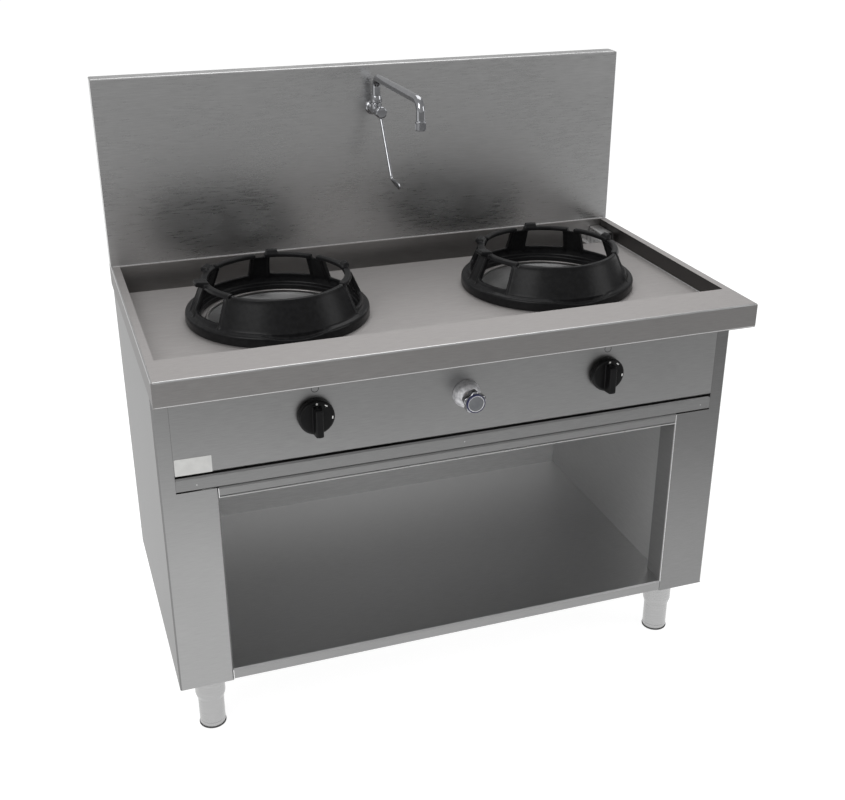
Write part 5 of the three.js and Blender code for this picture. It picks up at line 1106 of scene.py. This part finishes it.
@dataclass
class WokRing:
    """One cast ring: a flanged foot, a cone with windows, rim bars, lugs and a plain shield."""

    side: str
    foot_radius: float = 186.3
    foot_height: float = 22.0
    foot_round: float = 5.0
    lip_radius: float = 155.0
    lip_height: float = 11.0
    lip_step: float = 2.0
    cone_radius: float = 174.8
    cone_foot: float = 24.0
    cone_top_radius: float = 148.0
    height: float = 86.0
    wall: float = 7.0
    bar_height: float = 9.0
    bar_inner: float = 137.0
    bar_outer: float = 149.5
    window_bottom: float = 32.0
    window_round: float = 3.0
    notch_round: float = 0.8
    tool_inset: float = 20.0
    clearance: float = 6.0
    shield_drop: float = 2.5
    windows: tuple[Point2, ...] = (
        *((10, 36), (52, 83), (99, 131)),
        *((144, 174), (188, 216), (322, 355)),
    )
    notches: tuple[Point2, ...] = (
        *((-3.5, -0.5), (41, 46.8), (87.5, 95.6), (137.5, 141.5)),
        *((175, 178), (220, 222), (318, 320)),
    )
    shield: Point2 = (222.0, 318.0)
    rib_width: float = 5.0
    rib_proud: float = 2.2
    lugs: tuple[Point3, ...] = ((1, 9, 4), (76.5, 86, 2), (143, 153, 8), (179, 189, 18))
    lug_rise: float = 8.0
    dip_depth: float = 8.0
    dip_width: float = 132.0
    dip_half_angle: float = 24.0
    segments: int = 240
    voxel: float = 1.75
    seat: float = PAN_FLOOR + 0.3

    @property
    def centre(self) -> Point2:
        """The ring's axis."""
        return BURNERS[self.side]

    @property
    def bar_low(self) -> float:
        """Where the rim's bar starts, above the seat."""
        return self.height - self.bar_height

    def _cone(self, height: float) -> float:
        """The cone's outside radius at a height above the ring's seat."""
        share = (height - self.cone_foot) / (self.height - self.cone_foot)
        return self.cone_radius + (self.cone_top_radius - self.cone_radius) * share

    def _profile(self) -> list[Point2]:
        """The casting's closed section, from its seat up, round the rim and down inside."""
        low, foot, inside = self.bar_low, self.foot_radius, self.cone_radius - self.wall
        section = [
            (self.lip_radius, 0.0),
            (foot, 0.0),
            (foot, self.foot_height - self.foot_round),
            (foot - 1.5, self.foot_height - 1.5),
            (foot - self.foot_round, self.foot_height),
            (self.cone_radius, self.cone_foot),
            (self._cone(low), low),
            (self.bar_outer, self.height),
            (self.bar_inner, self.height),
            (self.bar_inner, low),
            (self._cone(low) - self.wall, low),
            (inside, self.cone_foot),
            (inside - self.lip_step, self.lip_height),
            (self.lip_radius, self.lip_height),
        ]
        return shifted(section, self.seat)

    def _window_outline(self, span: Point2, low: float, high: float, corner: float) -> list[Point2]:
        """A window's outline of (degrees, height), its corners rounded as a mould leaves them."""
        per_degree = math.radians(1) * self.cone_radius * 0.92
        flat = rectangle((span[0] * per_degree, low), (span[1] * per_degree, high))
        steps = 7
        rounded: list[Point2] = []
        for (u0, v0), (u1, v1) in zip(flat, flat[1:] + flat[:1]):
            for k in range(steps):
                t = k / steps
                u, v = u0 + (u1 - u0) * t, v0 + (v1 - v0) * t
                cu = min(max(u, flat[0][0] + corner), flat[1][0] - corner)
                cv = min(max(v, low + corner), high - corner)
                away = Vector((u - cu, v - cv))
                if abs(away.x) > 1e-6 and abs(away.y) > 1e-6:
                    away = away.normalized() * corner
                rounded.append(((cu + away.x) / per_degree, self.seat + cv + away.y))
        return rounded

    def _cutters(self) -> Piece:
        """Windows and rim gaps, as one tool."""
        tools, low = Form(), self.bar_low
        inside, outside = self.bar_inner - self.tool_inset, self.foot_radius + self.clearance
        for spans, bottom, top, corner in (
            (self.windows, self.window_bottom, low, self.window_round),
            (self.notches, low, self.height + self.clearance, self.notch_round),
        ):
            for span in spans:
                outline = self._window_outline(span, bottom, top, corner)
                tools.window(outline, self.centre, inside, outside)
        return tools.made("ring_cutters")

    def _shield_cutters(self) -> Piece:
        """What lowers the rim over the shield, and the shallow scoop in the foot below it."""
        tools = Form()
        inner = self._cone(self.height) - self.wall
        inside, foot = self.bar_inner - self.tool_inset, self.foot_radius
        start, step = self.bar_low - 1, self.height - self.shield_drop
        end = self.height + self.clearance
        block = [(inside, start), (inner, start), (inner, step), (foot, step)]
        block += [(foot, end), (inside, end)]
        tools.turned(shifted(block, self.seat), self.centre, Axis.Z, self.segments, self.shield)
        half = self.dip_width / 2
        bend = (half**2 + self.dip_depth**2) / (2 * self.dip_depth)
        steps, reach = 24, self.dip_half_angle
        points, faces = [], []
        for k in range(steps + 1):
            angle = math.radians(-90 - reach + 2 * reach * k / steps)
            for r in (self.cone_radius + 1, self.foot_radius + self.clearance):
                x = r * math.cos(angle)
                floor = self.foot_height - self.dip_depth + bend - math.sqrt(bend**2 - x**2)
                across = self.centre[1] + r * math.sin(angle)
                for z in (floor, self.foot_height + 8):
                    points.append((self.centre[0] + x, across, self.seat + z))
        for k in range(steps):
            a, b = 4 * k, 4 * k + 4
            faces += [(a, b, b + 1, a + 1), (a + 2, a + 3, b + 3, b + 2)]
            faces += [(a, a + 2, b + 2, b), (a + 1, b + 1, b + 3, a + 3)]
        end = 4 * steps
        faces += [(0, 1, 3, 2), (end, end + 2, end + 3, end + 1)]
        tools.add(points, faces)
        return tools.made("ring_shield_cutters")

    def _ribs_and_lugs(self) -> Piece:
        """Raised ribs beside the windows, and the lugs that carry a wok."""
        extra, low, proud = Form(), self.bar_low, self.rib_proud
        foot = self.cone_foot - 2
        rib = [(self._cone(foot) + proud, foot), (self._cone(low) + proud, low)]
        rib += [(self._cone(h) - self.wall - proud, h) for h in (low, foot)]
        half = math.degrees(self.rib_width / 2 / self.bar_outer)
        for start, end in self.windows:
            for angle in (start - half, end + half):
                extra.radial_plate(shifted(rib, self.seat), self.centre, angle, self.rib_width)
        root, high = low + 2, self.height + self.lug_rise
        inside = self.bar_inner + 3
        for start, end, reach in self.lugs:
            tip = self.bar_outer + reach
            lug = [(inside, root), (self.bar_outer, root), (tip, high - 9), (tip, high - 4)]
            lug += [(tip - 4, high), (inside, high - 3)]
            width = math.radians(end - start) * self.bar_outer
            middle = (start + end) / 2
            extra.radial_plate(shifted(lug, self.seat), self.centre, middle, width)
        return extra.made("ring_extras")

    def make(self) -> None:
        """Turns the casting, cuts it, adds ribs and lugs and melts all into one skin."""
        profile, name = eased(self._profile(), 1.5, 2), f"{self.side}_cast_ring"
        ring = Form().turned(profile, self.centre, Axis.Z, self.segments).made(name)
        cut_by(ring, self._cutters())
        cut_by(ring, self._shield_cutters())
        join_to(ring, self._ribs_and_lugs())
        cast_over(ring, self.voxel)
        node = f"{self.side}_wok_ring"
        finished(ring, IRON, f"{self.side}_ring", "cast_iron", node, sharp=None)


@dataclass
class Burner:
    """One burner in its well: cast head with jets, and the round openings about it."""

    side: str
    seat: float = 742.0
    well_top: float = 823.2
    well_bottom: float = 740.2
    well_inset: float = 2.0
    flange: float = 11.0
    mixing_height: float = 660.0
    opening_radius: float = 143.0
    collar_top: float = 827.5
    throat_radius: float = 84.0
    throat_depth: float = 42.0
    pot_radius: float = 80.0
    stem_radius: float = 22.0
    stem_hole: float = 30.0
    sheet: float = 1.5
    segments: int = 128
    jets: int = 16
    jet_ring: float = 53.0
    jet_radius: float = 2.6
    jet_length: float = 8.0
    jet_height: float = 60.5

    def _casting(self, centre: Point2) -> None:
        """The head, its stem through the well and the mixing tube towards the front."""
        head = [(0, 0), (45, 0), (45, 6), (34, 6), (34, 21), (62, 30), (62, 55), (53, 64)]
        head += [(41, 64), (0, 59.5)]
        tube = [(0, -2), (20, -2), (20, -124), (26, -148), (26, -172), (15, -172), (15, -150)]
        tube += [(0, -150)]
        casting = Form().turned(eased(shifted(head, self.seat), 2.0), centre)
        stem = [(*centre, self.mixing_height - 19), (*centre, self.seat + 1)]
        casting.tube(stem, self.stem_radius, 48)
        casting.turned(eased(tube, 1.5), (centre[0], self.mixing_height), Axis.Y, 64)
        name, node = f"{self.side}_burner_casting", f"{self.side}_burner"
        casting.keep(name, IRON, "cabinet", "cast_iron", node)

    def _jets(self, centre: Point2) -> None:
        """The ring of brass jets on the head's bevel."""
        values = {"Ring Radius": self.jet_ring * MM, "Flute Radius": self.jet_radius * MM}
        values |= {"Flute Length": self.jet_length * MM, "Count": self.jets}
        place = [(*centre, self.seat + self.jet_height)]
        crown = flute_scatter(BRASS).apply(f"{self.side}_burner_jets", place, values)
        finished(crown, BRASS, "cabinet", "brass")

    def _well(self, centre: Point2) -> None:
        """The spun well that hangs in the opening."""
        top, bottom, t = self.well_top, self.well_bottom, self.sheet
        mouth = self.opening_radius - self.well_inset
        throat, pot = self.throat_radius, self.pot_radius
        fold, hole, rim = top - self.throat_depth, self.stem_hole, mouth + self.flange
        section = [(mouth, top), (rim, top), (rim, top - t), (mouth + t, top - t)]
        section += [(throat + t, fold - t), (pot + t, bottom), (hole, bottom), (hole, bottom + t)]
        section += [(pot, bottom + t), (throat, fold)]
        well = Form().turned(eased(section, 0.6, 2), centre, Axis.Z, self.segments)
        name, node = f"{self.side}_pressed_well", f"{self.side}_burner_well"
        well.keep(name, SATIN_WELL, "cabinet", "brushed_steel", node)

    def _collar(self, centre: Point2) -> None:
        """The bead on the opening's collar, with the collar's two faces."""
        r, rim, floor = self.opening_radius, self.collar_top, PAN_FLOOR
        inner = [(r - 0.9, rim), (r - 0.1, rim), (r - 0.1, floor - 1), (r - 0.9, floor - 1)]
        outer = [(r + 1.4, rim), (r + 2.2, rim - 0.3), (r + 4.5, floor), (r + 1.4, floor)]
        bead = Form()
        for section in (circle_outline(1.25, 12, (r + 0.75, rim - 0.2)), inner, outer):
            bead.turned(section, centre, Axis.Z, self.segments)
        bead.keep(f"{self.side}_opening_bead", SATIN_PAN, "cabinet", "pan_steel")

    def make(self) -> None:
        """Builds the head, its jets, the well and the bead on the opening's collar."""
        for build in (self._casting, self._jets, self._well, self._collar):
            build(BURNERS[self.side])


# ---------------------------------------------------------------- controls


@dataclass
class GasKnob:
    """A moulded knob: round skirt, grip bar across it, and printed marks for the settings."""

    side: str
    radius: float = 35.5
    back: float = -275.0
    skirt: float = 12.0
    grip_width: float = 17.0
    grip_height: float = 20.0
    grip_short: float = 9.0
    crown_angle: float = 40.0
    crown_rise: float = 6.0
    voxel: float = 0.75
    dot_radius: float = 2.1
    dot_offset: float = 29.0
    mark_offset: float = 29.5
    mark_angles: Point2 = (53.0, -4.0)
    mark_half_length: float = 1.3
    mark_half_width: float = 3.0

    def _marks(self, body: str) -> None:
        """A white dot on the skirt over the grip, and marks at low and full flame."""
        x, z = KNOBS[self.side], CONTROL_HEIGHT
        face, r = self.back - self.skirt, self.dot_radius
        deep, proud = face + 0.4, face - 0.12
        dot = [(0, deep), (r, deep), (r, proud), (0, proud)]
        marks = Form().turned(dot, (x, z + self.dot_offset), Axis.Y, 24)
        for angle in self.mark_angles:
            a = math.radians(angle)
            out, aside = Vector((math.cos(a), math.sin(a))), Vector((-math.sin(a), math.cos(a)))
            middle = Vector((x, z)) + out * self.mark_offset
            outline = [
                tuple(middle + out * u * self.mark_half_length + aside * v * self.mark_half_width)
                for u, v in rectangle((-1, -1), (1, 1))
            ]
            marks.prism(eased(outline, 1.0, 3), Axis.Y, deep, proud)
        marks.keep(f"{self.side}_knob_marks", PRINT_WHITE, body, "black_plastic")

    def _grip_row(self, y: float, gap: float, steps: int = 12) -> list[Point3]:
        """The grip's outline at a depth, drawn in by a gap; its upper end is the shorter one."""
        reach, half = self.radius - 0.8 - gap, self.grip_width / 2 - gap * 0.9
        turn, rise = self.crown_angle, self.crown_rise
        end: list[Point2] = []
        for k in range(steps + 1):
            a = math.radians(-turn + 2 * turn * k / steps)
            u = half * math.sin(a) / math.sin(math.radians(turn))
            end.append((u, reach - rise + rise * math.cos(a)))
        loop = [(u, v - self.grip_short) for u, v in end] + [(-u, -v) for u, v in end]
        return [(KNOBS[self.side] + u, y, CONTROL_HEIGHT + v) for u, v in loop]

    def make(self) -> None:
        """Builds the knob as one moulded skin and its marks, and dresses the spindle behind it."""
        body, r = f"{self.side}_gas_knob", self.radius
        face = self.back - self.skirt
        front = face - self.grip_height
        skirt = [(0, self.back), (r, self.back), (r - 0.5, face + 3), (r - 3.5, face), (0, face)]
        knob = Form().turned(eased(skirt, 1.5), (KNOBS[self.side], CONTROL_HEIGHT), Axis.Y)
        rows = [(face + 4, 0.0), (face - 4, 0.3), (front + 3, 1.2), (front + 1, 2.0), (front, 3.4)]
        knob.stacked([self._grip_row(y, gap) for y, gap in rows])
        piece = cast_over(knob.made(f"{self.side}_moulded_knob"), self.voxel)
        finished(piece, KNOB_BLACK, body, "black_plastic", f"{self.side}_knob", sharp=None)
        self._marks(body)
        dress(CHROME, f"{self.side}_tap_spindle")


@dataclass
class GasLine:
    """The hidden gas line behind the panel, which keeps the frame's solids."""

    def make(self) -> None:
        """Dresses taps, plugs, pipes and the manifold."""
        for side in BURNERS:
            dress(BRASS, f"{side}_gas_tap", f"{side}_tap_plug", f"{side}_gas_pipe")
        dress(ZINC, "gas_manifold")


@dataclass
class WaterValve:
    """The water valve in the middle of the panel: a bell, a lobed handle and its index."""

    bell_radius: float = 28.5
    bell_back: float = -270.3
    bell_front: float = -294.3
    handle_back: float = -298.3
    handle_front: float = -320.3
    neck: float = 6.0
    mean_radius: float = 21.5
    lobe: float = 2.5
    lobes: int = 5
    steps_per_lobe: int = 20
    index_radius: float = 19.0
    index_thickness: float = 5.5

    def _bell(self, centre: Point2) -> None:
        """The domed escutcheon."""
        back, front, r = self.bell_back, self.bell_front, self.bell_radius
        dome = [(r, 0), (r, -4), (27.4, -10), (24.6, -16), (20.6, -20.5)]
        lip = [(17.0, 0), (14.0, 0), (13.4, 3), (7, 3), (7, 4)]
        profile = shifted(dome, back) + shifted(lip, front) + shifted([(21, -11), (r - 2, 0)], back)
        bell = Form().turned(eased(profile, 2.0, 6), centre, Axis.Y)
        bell.keep("valve_bell", CHROME_SATIN, "cabinet", "chrome", "valve_escutcheon", sharp=50.0)

    def _handle(self, centre: Point2) -> None:
        """The lobed handle with its neck."""
        neck, front = self.handle_back - self.neck, self.handle_front
        steps = self.lobes * self.steps_per_lobe
        turns = [math.tau * k / steps for k in range(steps)]
        outline = [(self.mean_radius + self.lobe * math.cos(self.lobes * a), a) for a in turns]
        rows = [(neck, 0.86), (neck - 1.2, 0.96), (neck - 3, 1.0)]
        rows += [(front + 3, 1.0), (front + 1, 0.97), (front, 0.91)]
        handle = Form().stacked(
            [
                [
                    (centre[0] + share * r * math.sin(a), y, centre[1] + share * r * math.cos(a))
                    for r, a in outline
                ]
                for y, share in rows
            ]
        )
        sleeve = [(0, self.handle_back), (10, self.handle_back), (11, neck), (0, neck)]
        handle.turned(eased(sleeve, 1.0), centre, Axis.Y, 64)
        handle.keep("lobed_handle", CHROME, "water_handle", "chrome", "valve_handle", sharp=40.0)

    def _index(self, centre: Point2) -> None:
        """The index: a disc, a bright hoop round it and a blue rim."""
        start, r = self.handle_front - 0.3, self.index_radius
        end = start - self.index_thickness
        disc = [(0, start), (r - 3.9, start), (r - 3.9, end + 0.8), (0, end + 1.1)]
        hoop = [(r - 4.1, start), (r - 2.3, start), (r - 2.3, end + 0.2), (r - 4.1, end + 1.2)]
        rim = [(r - 2.5, start), (r, start), (r, end + 1), (r - 0.8, end), (r - 2.5, end + 0.3)]
        for name, profile, finish, slot, nodes in (
            ("disc", eased(disc, 0.6), INDEX_GREY, "index_plastic", ["valve_index"]),
            ("hoop", eased(hoop, 0.3, 2), CHROME_SATIN, "chrome", []),
            ("rim", eased(rim, 0.5), INDEX_BLUE, "index_plastic", []),
        ):
            form = Form().turned(profile, centre, Axis.Y)
            form.keep(f"valve_index_{name}", finish, "water_handle", slot, *nodes)

    def make(self) -> None:
        """Builds the bell, handle and index, and dresses the hidden valve."""
        for build in (self._bell, self._handle, self._index):
            build((VALVE_X, CONTROL_HEIGHT))
        dress(BRASS, "valve_spindle", "water_valve_body")


# ---------------------------------------------------------------- tap


@dataclass
class SwingTap:
    """The tap on the splashback: flange, barrel, swivel, long spout and a long lever."""

    wall: float = 310.0
    swivel_y: float = 277.0
    swivel_seat: float = 1184.0
    spout_radius: float = 9.0
    spout_top: float = 1238.0
    spout_tip: float = -20.0
    spout_end: float = 1190.0
    spout_bend: float = 22.0
    knurls: int = 40
    hub_gap: float = 58.3
    hub_length: float = 16.0
    rod_radius: float = 3.5
    rod_bend: float = 16.0
    rod_forward: float = 75.0
    rod_drop: float = 130.0
    paddle_length: float = 56.0
    paddle_drop: float = 5.0
    paddle_half_width: float = 2.0
    paddle_half_height: float = 6.5

    def _body(self) -> None:
        """Flange, barrel with its bonnet, boss and the domed swivel nut."""
        w, z, swivel = self.wall, TAP_HEIGHT, (0, self.swivel_y)
        flange = [(10.8, -0.3), (16, -0.3), (16, -4.3), (13, -7.3), (10.8, -7.3)]
        form = Form().turned(eased(shifted(flange, w), 1.4), (0, z), Axis.Y)
        form.keep("tap_wall_flange", CHROME, "cabinet", "chrome", "tap_flange")
        barrel = [(0, 7), (10.5, 7), (10.5, -7.6), (12.5, -7.6), (12.5, -18), (11.6, -19.5)]
        barrel += [(11.6, -42), (12.5, -43.5), (12.5, -47), (10.5, -47), (10.5, -58)]
        barrel += [(5, -58), (5, -69), (0, -69)]
        boss = [(0, 0), (12, 0), (12, 14), (10.8, 16), (0, 16)]
        body = Form().turned(eased(shifted(barrel, w), 0.9, 3), (0, z), Axis.Y)
        body.turned(eased(shifted(boss, z), 0.8, 3), swivel)
        body.prism(circle_outline(10.9, 6, (0, z)), Axis.Y, w - 49, w - 56)
        body.keep("tap_barrel", CHROME, "cabinet", "chrome", "tap_body")
        low = self.swivel_seat + 0.3
        dome = shifted([(9.35, 0), (12.3, 0), (12.6, 7), (10.9, 15), (9.35, 15)], low)
        nut = Form().prism(circle_outline(13, 6, swivel, 30), Axis.Z, low, low + 6.5)
        nut.turned(eased(dome, 1.2, 4), swivel)
        nut.keep("domed_swivel_nut", CHROME, "cabinet", "chrome", "swivel_nut")

    def _spout(self) -> None:
        """The bent pipe and the aerator with its knurl."""
        y, tip = self.swivel_y, self.spout_tip
        route = [(0, y, self.swivel_seat + 0.3), (0, y, self.spout_top)]
        route += [(0, tip, self.spout_top), (0, tip, self.spout_end)]
        pipe = Form().tube(bent(route, self.spout_bend, 14), self.spout_radius, 40)
        pipe.keep("bent_spout", CHROME, "swing_spout", "chrome", "spout")
        top, bottom = self.spout_end + 10, self.spout_end - 9
        shell = shifted([(9.1, 0), (10.6, 0), (11, -1), (11, -4), (10.3, -4.6)], top)
        shell += shifted([(10.3, 1.5), (9.6, 0), (7.5, 0), (7.5, 3), (0, 3)], bottom)
        shell += shifted([(0, 1), (9.1, 1)], self.spout_end)
        form = Form().turned(eased(shell, 0.4, 2), (0, tip))
        form.keep("aerator_shell", CHROME, "swing_spout", "chrome", "aerator")
        high, low = top - 5, bottom + 2
        values = {"Ring Radius": 10.35 * MM, "Flute Radius": 0.5 * MM}
        values |= {"Flute Length": (high - low) * MM, "Count": self.knurls}
        place = [(0, tip, (high + low) / 2)]
        knurl = flute_scatter(CHROME).apply("aerator_knurl", place, values)
        finished(knurl, CHROME, "swing_spout", "chrome")

    def _rod_section(self, at: float, knee_at: float) -> list[Point2]:
        """The rod's section: round, then flattened and heightened into the paddle.

        Args:
            at: The place along the rod, from 0 to 1.
            knee_at: Where its bend is.

        Returns:
            The section's points.
        """
        t = min(1.0, max(0.0, (at - knee_at + 0.02) / 0.16))
        t = t * t * (3 - 2 * t)
        end_round = min(1.0, max(0.35, (1.0 - at) / 0.035 + 0.35))
        half_w = self.rod_radius + (self.paddle_half_width - self.rod_radius) * t
        half_h = (self.rod_radius + (self.paddle_half_height - self.rod_radius) * t) * end_round
        power, sides = 1.0 - 0.35 * t, 28
        points = []
        for k in range(sides):
            c, s = math.cos(math.tau * k / sides), math.sin(math.tau * k / sides)
            u, v = math.copysign(abs(c) ** power, c), math.copysign(abs(s) ** power, s)
            points.append((half_w * u, half_h * v))
        return points

    def _lever(self) -> None:
        """Hub, bent rod and flat paddle, as one polished piece."""
        z, hub_back = TAP_HEIGHT, self.wall - self.hub_gap
        hub = shifted([(5.2, 0), (12.2, 0), (13, -2)], hub_back)
        hub += shifted([(13, 4), (11, 0.6), (0, 0)], hub_back - self.hub_length)
        hub += shifted([(0, -12), (5.2, -12)], hub_back)
        lever = Form().turned(eased(hub, 1.5), (0, z), Axis.Y)
        start = Vector((0, hub_back - 5.33, z - 9))
        knee = Vector((0, start.y - self.rod_forward, z - self.rod_drop))
        end = Vector((0, knee.y - self.paddle_length, knee.z - self.paddle_drop))
        path = bent([start, knee, end], self.rod_bend, 8)
        last = path[-2]
        path = path[:-1] + [last.lerp(end, k / 8) for k in range(1, 9)]
        lengths = [0.0]
        for a, b in zip(path, path[1:]):
            lengths.append(lengths[-1] + (b - a).length)
        whole = lengths[-1]
        knee_at = (knee - start).length / whole

        def section(share: float) -> list[Point2]:
            """The section at a share of the path's points."""
            return self._rod_section(lengths[round(share * (len(path) - 1))] / whole, knee_at)

        lever.swept(path, section)
        lever.keep("lever_and_paddle", CHROME, "long_lever", "chrome", "tap_lever", sharp=45.0)

    def make(self) -> None:
        """Builds the tap and dresses its hidden pipes."""
        self._body()
        self._spout()
        self._lever()
        dress(TUBE_STEEL, "water_pipe", "water_inlet_pipe")


# ---------------------------------------------------------------- feet and drain


@dataclass
class Foot:
    """One adjustable foot: straight fixed sleeve with a short nose, turned stem and rubber pad."""

    row: str
    side: str
    x: float
    y: float

    def make(self) -> None:
        """Builds sleeve, stem and pad."""
        name = f"{self.row}_{self.side}_foot"
        sleeve = [(0, 149.7), (31.5, 149.7), (31.5, 82), (31.0, 79), (28.9, 72), (28.6, 70)]
        sleeve += [(27.4, 70), (27.4, 146), (0, 146)]
        stem = [(26, 4.6), (27.2, 4.6), (27.2, 13), (26.7, 14), (26.7, 15), (27, 16)]
        stem += [(27, 145.5), (26, 145.5)]
        pad = [(0, 0), (26.4, 0), (28.3, 1.4), (28.3, 4.2), (25.6, 4.4), (25.6, 9), (0, 9)]
        for part, profile, finish, body, slot, node in (
            ("shroud", eased(sleeve, 2.0), TUBE_STEEL, "cabinet", "brushed_steel", "sleeve"),
            ("tube", eased(stem, 0.5, 2), TUBE_STEEL, name, "brushed_steel", "stem"),
            ("glide", eased(pad, 0.8), RUBBER, name, "black_rubber", "pad"),
        ):
            form = Form().turned(profile, (self.x, self.y))
            form.keep(f"{name}_{part}", finish, body, slot, f"{name}_{node}")


@dataclass
class Drain:
    """The strainer that lifts out of the gutter's end, and the waste pipe below it."""

    def make(self) -> None:
        """Dresses the frame's perforated plate and pipe."""
        dress(SATIN_PLATE, "drain_strainer")
        dress(TUBE_STEEL, "drain_pipe")


# ---------------------------------------------------------------- studio


@dataclass
class Studio:
    """Pale floor, soft light and the camera at the photograph's angle. Lights are in metres."""

    camera_place: Point3 = (-761.5, -2220.2, 1668.3)
    azimuth: float = 19.18
    elevation: float = 24.755
    lens: float = 50.0
    sensor: float = 36.0
    far: float = 100.0
    floor_half: float = 20000.0
    floor_drop: float = 0.5
    aim: Point3 = (0, 0, 0.8)
    boxes: tuple[tuple[str, Point3, float, float], ...] = (
        ("key_softbox", (-2.6, -1.8, 3.4), 2.2, 60.0),
        ("top_softbox", (0.6, 1.4, 3.6), 2.6, 45.0),
        ("fill_softbox", (3.2, -1.6, 2.0), 1.6, 18.0),
    )

    def camera(self) -> None:
        """Sets the camera where the photograph was taken from."""
        lens = bpy.data.cameras.new("camera")
        lens.lens = self.lens
        lens.sensor_width = self.sensor
        lens.sensor_fit = "HORIZONTAL"
        lens.clip_end = self.far
        eye = link_piece("camera", lens)
        eye.location = Vector(self.camera_place) * MM
        a, e = math.radians(self.azimuth), math.radians(self.elevation)
        forward = Vector((math.sin(a) * math.cos(e), math.cos(a) * math.cos(e), -math.sin(e)))
        eye.rotation_mode = "QUATERNION"
        eye.rotation_quaternion = forward.to_track_quat("-Z", "Y")
        bpy.context.scene.camera = eye

    def floor(self) -> None:
        """A pale floor that is lit from within, so that it stays white behind the range."""
        half = self.floor_half
        corners = [(x, y, -self.floor_drop) for x, y in rectangle((-half, -half), (half, half))]
        floor = Form().add(corners, [(0, 1, 2, 3)]).made("studio_floor")
        material = bpy.data.materials.new("studio_paper")
        material.use_nodes = True
        tree = material.node_tree
        tree.nodes.clear()
        away = share_along(tree, coordinates(tree), (-0.25, 1.0, 0.0))
        glow = remapped(tree, away, (-1.60, -1.00), (0.20, 0.90), smooth=True)
        inputs = {"Base Color": linear("#909090"), "Roughness": 0.9, "Specular IOR Level": 0.0}
        inputs |= {"Emission Color": linear("#ffffff"), "Emission Strength": glow}
        shader = add_node(tree, "ShaderNodeBsdfPrincipled", inputs)
        add_node(tree, "ShaderNodeOutputMaterial", {"Surface": shader.outputs["BSDF"]})
        floor.data.materials.append(material)

    def light(self) -> None:
        """A soft grey room, brighter at the left, and three large softboxes."""
        world = bpy.data.worlds.new("studio_room")
        bpy.context.scene.world = world
        world.use_nodes = True
        tree = world.node_tree
        tree.nodes.clear()
        across = share_along(tree, coordinates(tree, "Generated"), (1.0, 0.0, 0.0))
        inputs = {"Color": linear("#ffffff")}
        inputs["Strength"] = remapped(tree, across, (-1.0, 1.0), (0.62, 0.40))
        room = add_node(tree, "ShaderNodeBackground", inputs)
        add_node(tree, "ShaderNodeOutputWorld", {"Surface": room.outputs["Background"]})
        for name, at, size, power in self.boxes:
            lamp = bpy.data.lights.new(name, "AREA")
            lamp.shape = "SQUARE"
            lamp.size = size
            lamp.energy = power
            holder = link_piece(name, lamp)
            holder.location = at
            holder.rotation_mode = "QUATERNION"
            aim = Vector(self.aim) - Vector(at)
            holder.rotation_quaternion = aim.to_track_quat("-Z", "Y")

    def make(self) -> None:
        """Sets up the whole studio."""
        self.camera()
        self.floor()
        self.light()
        bpy.context.scene.view_settings.view_transform = "Standard"
        bpy.context.scene.view_settings.look = "None"


# ---------------------------------------------------------------- the range

FOOT_ROWS = {"front": -196.0, "rear": 270.0}
FOOT_SIDES = {"left": -530.0, "right": 530.0}


def main() -> None:
    """Builds the studio and dresses the range."""
    logging.basicConfig(level=logging.INFO, format="%(name)s: %(message)s")
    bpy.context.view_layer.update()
    Studio().make()
    Casing().make()
    FrontDetails().make()
    for side in BURNERS:
        WokRing(side).make()
        Burner(side).make()
        GasKnob(side).make()
    GasLine().make()
    WaterValve().make()
    SwingTap().make()
    for row, y in FOOT_ROWS.items():
        for side, x in FOOT_SIDES.items():
            Foot(row, side, x, y).make()
    Drain().make()


if __name__ == "__main__":
    main()
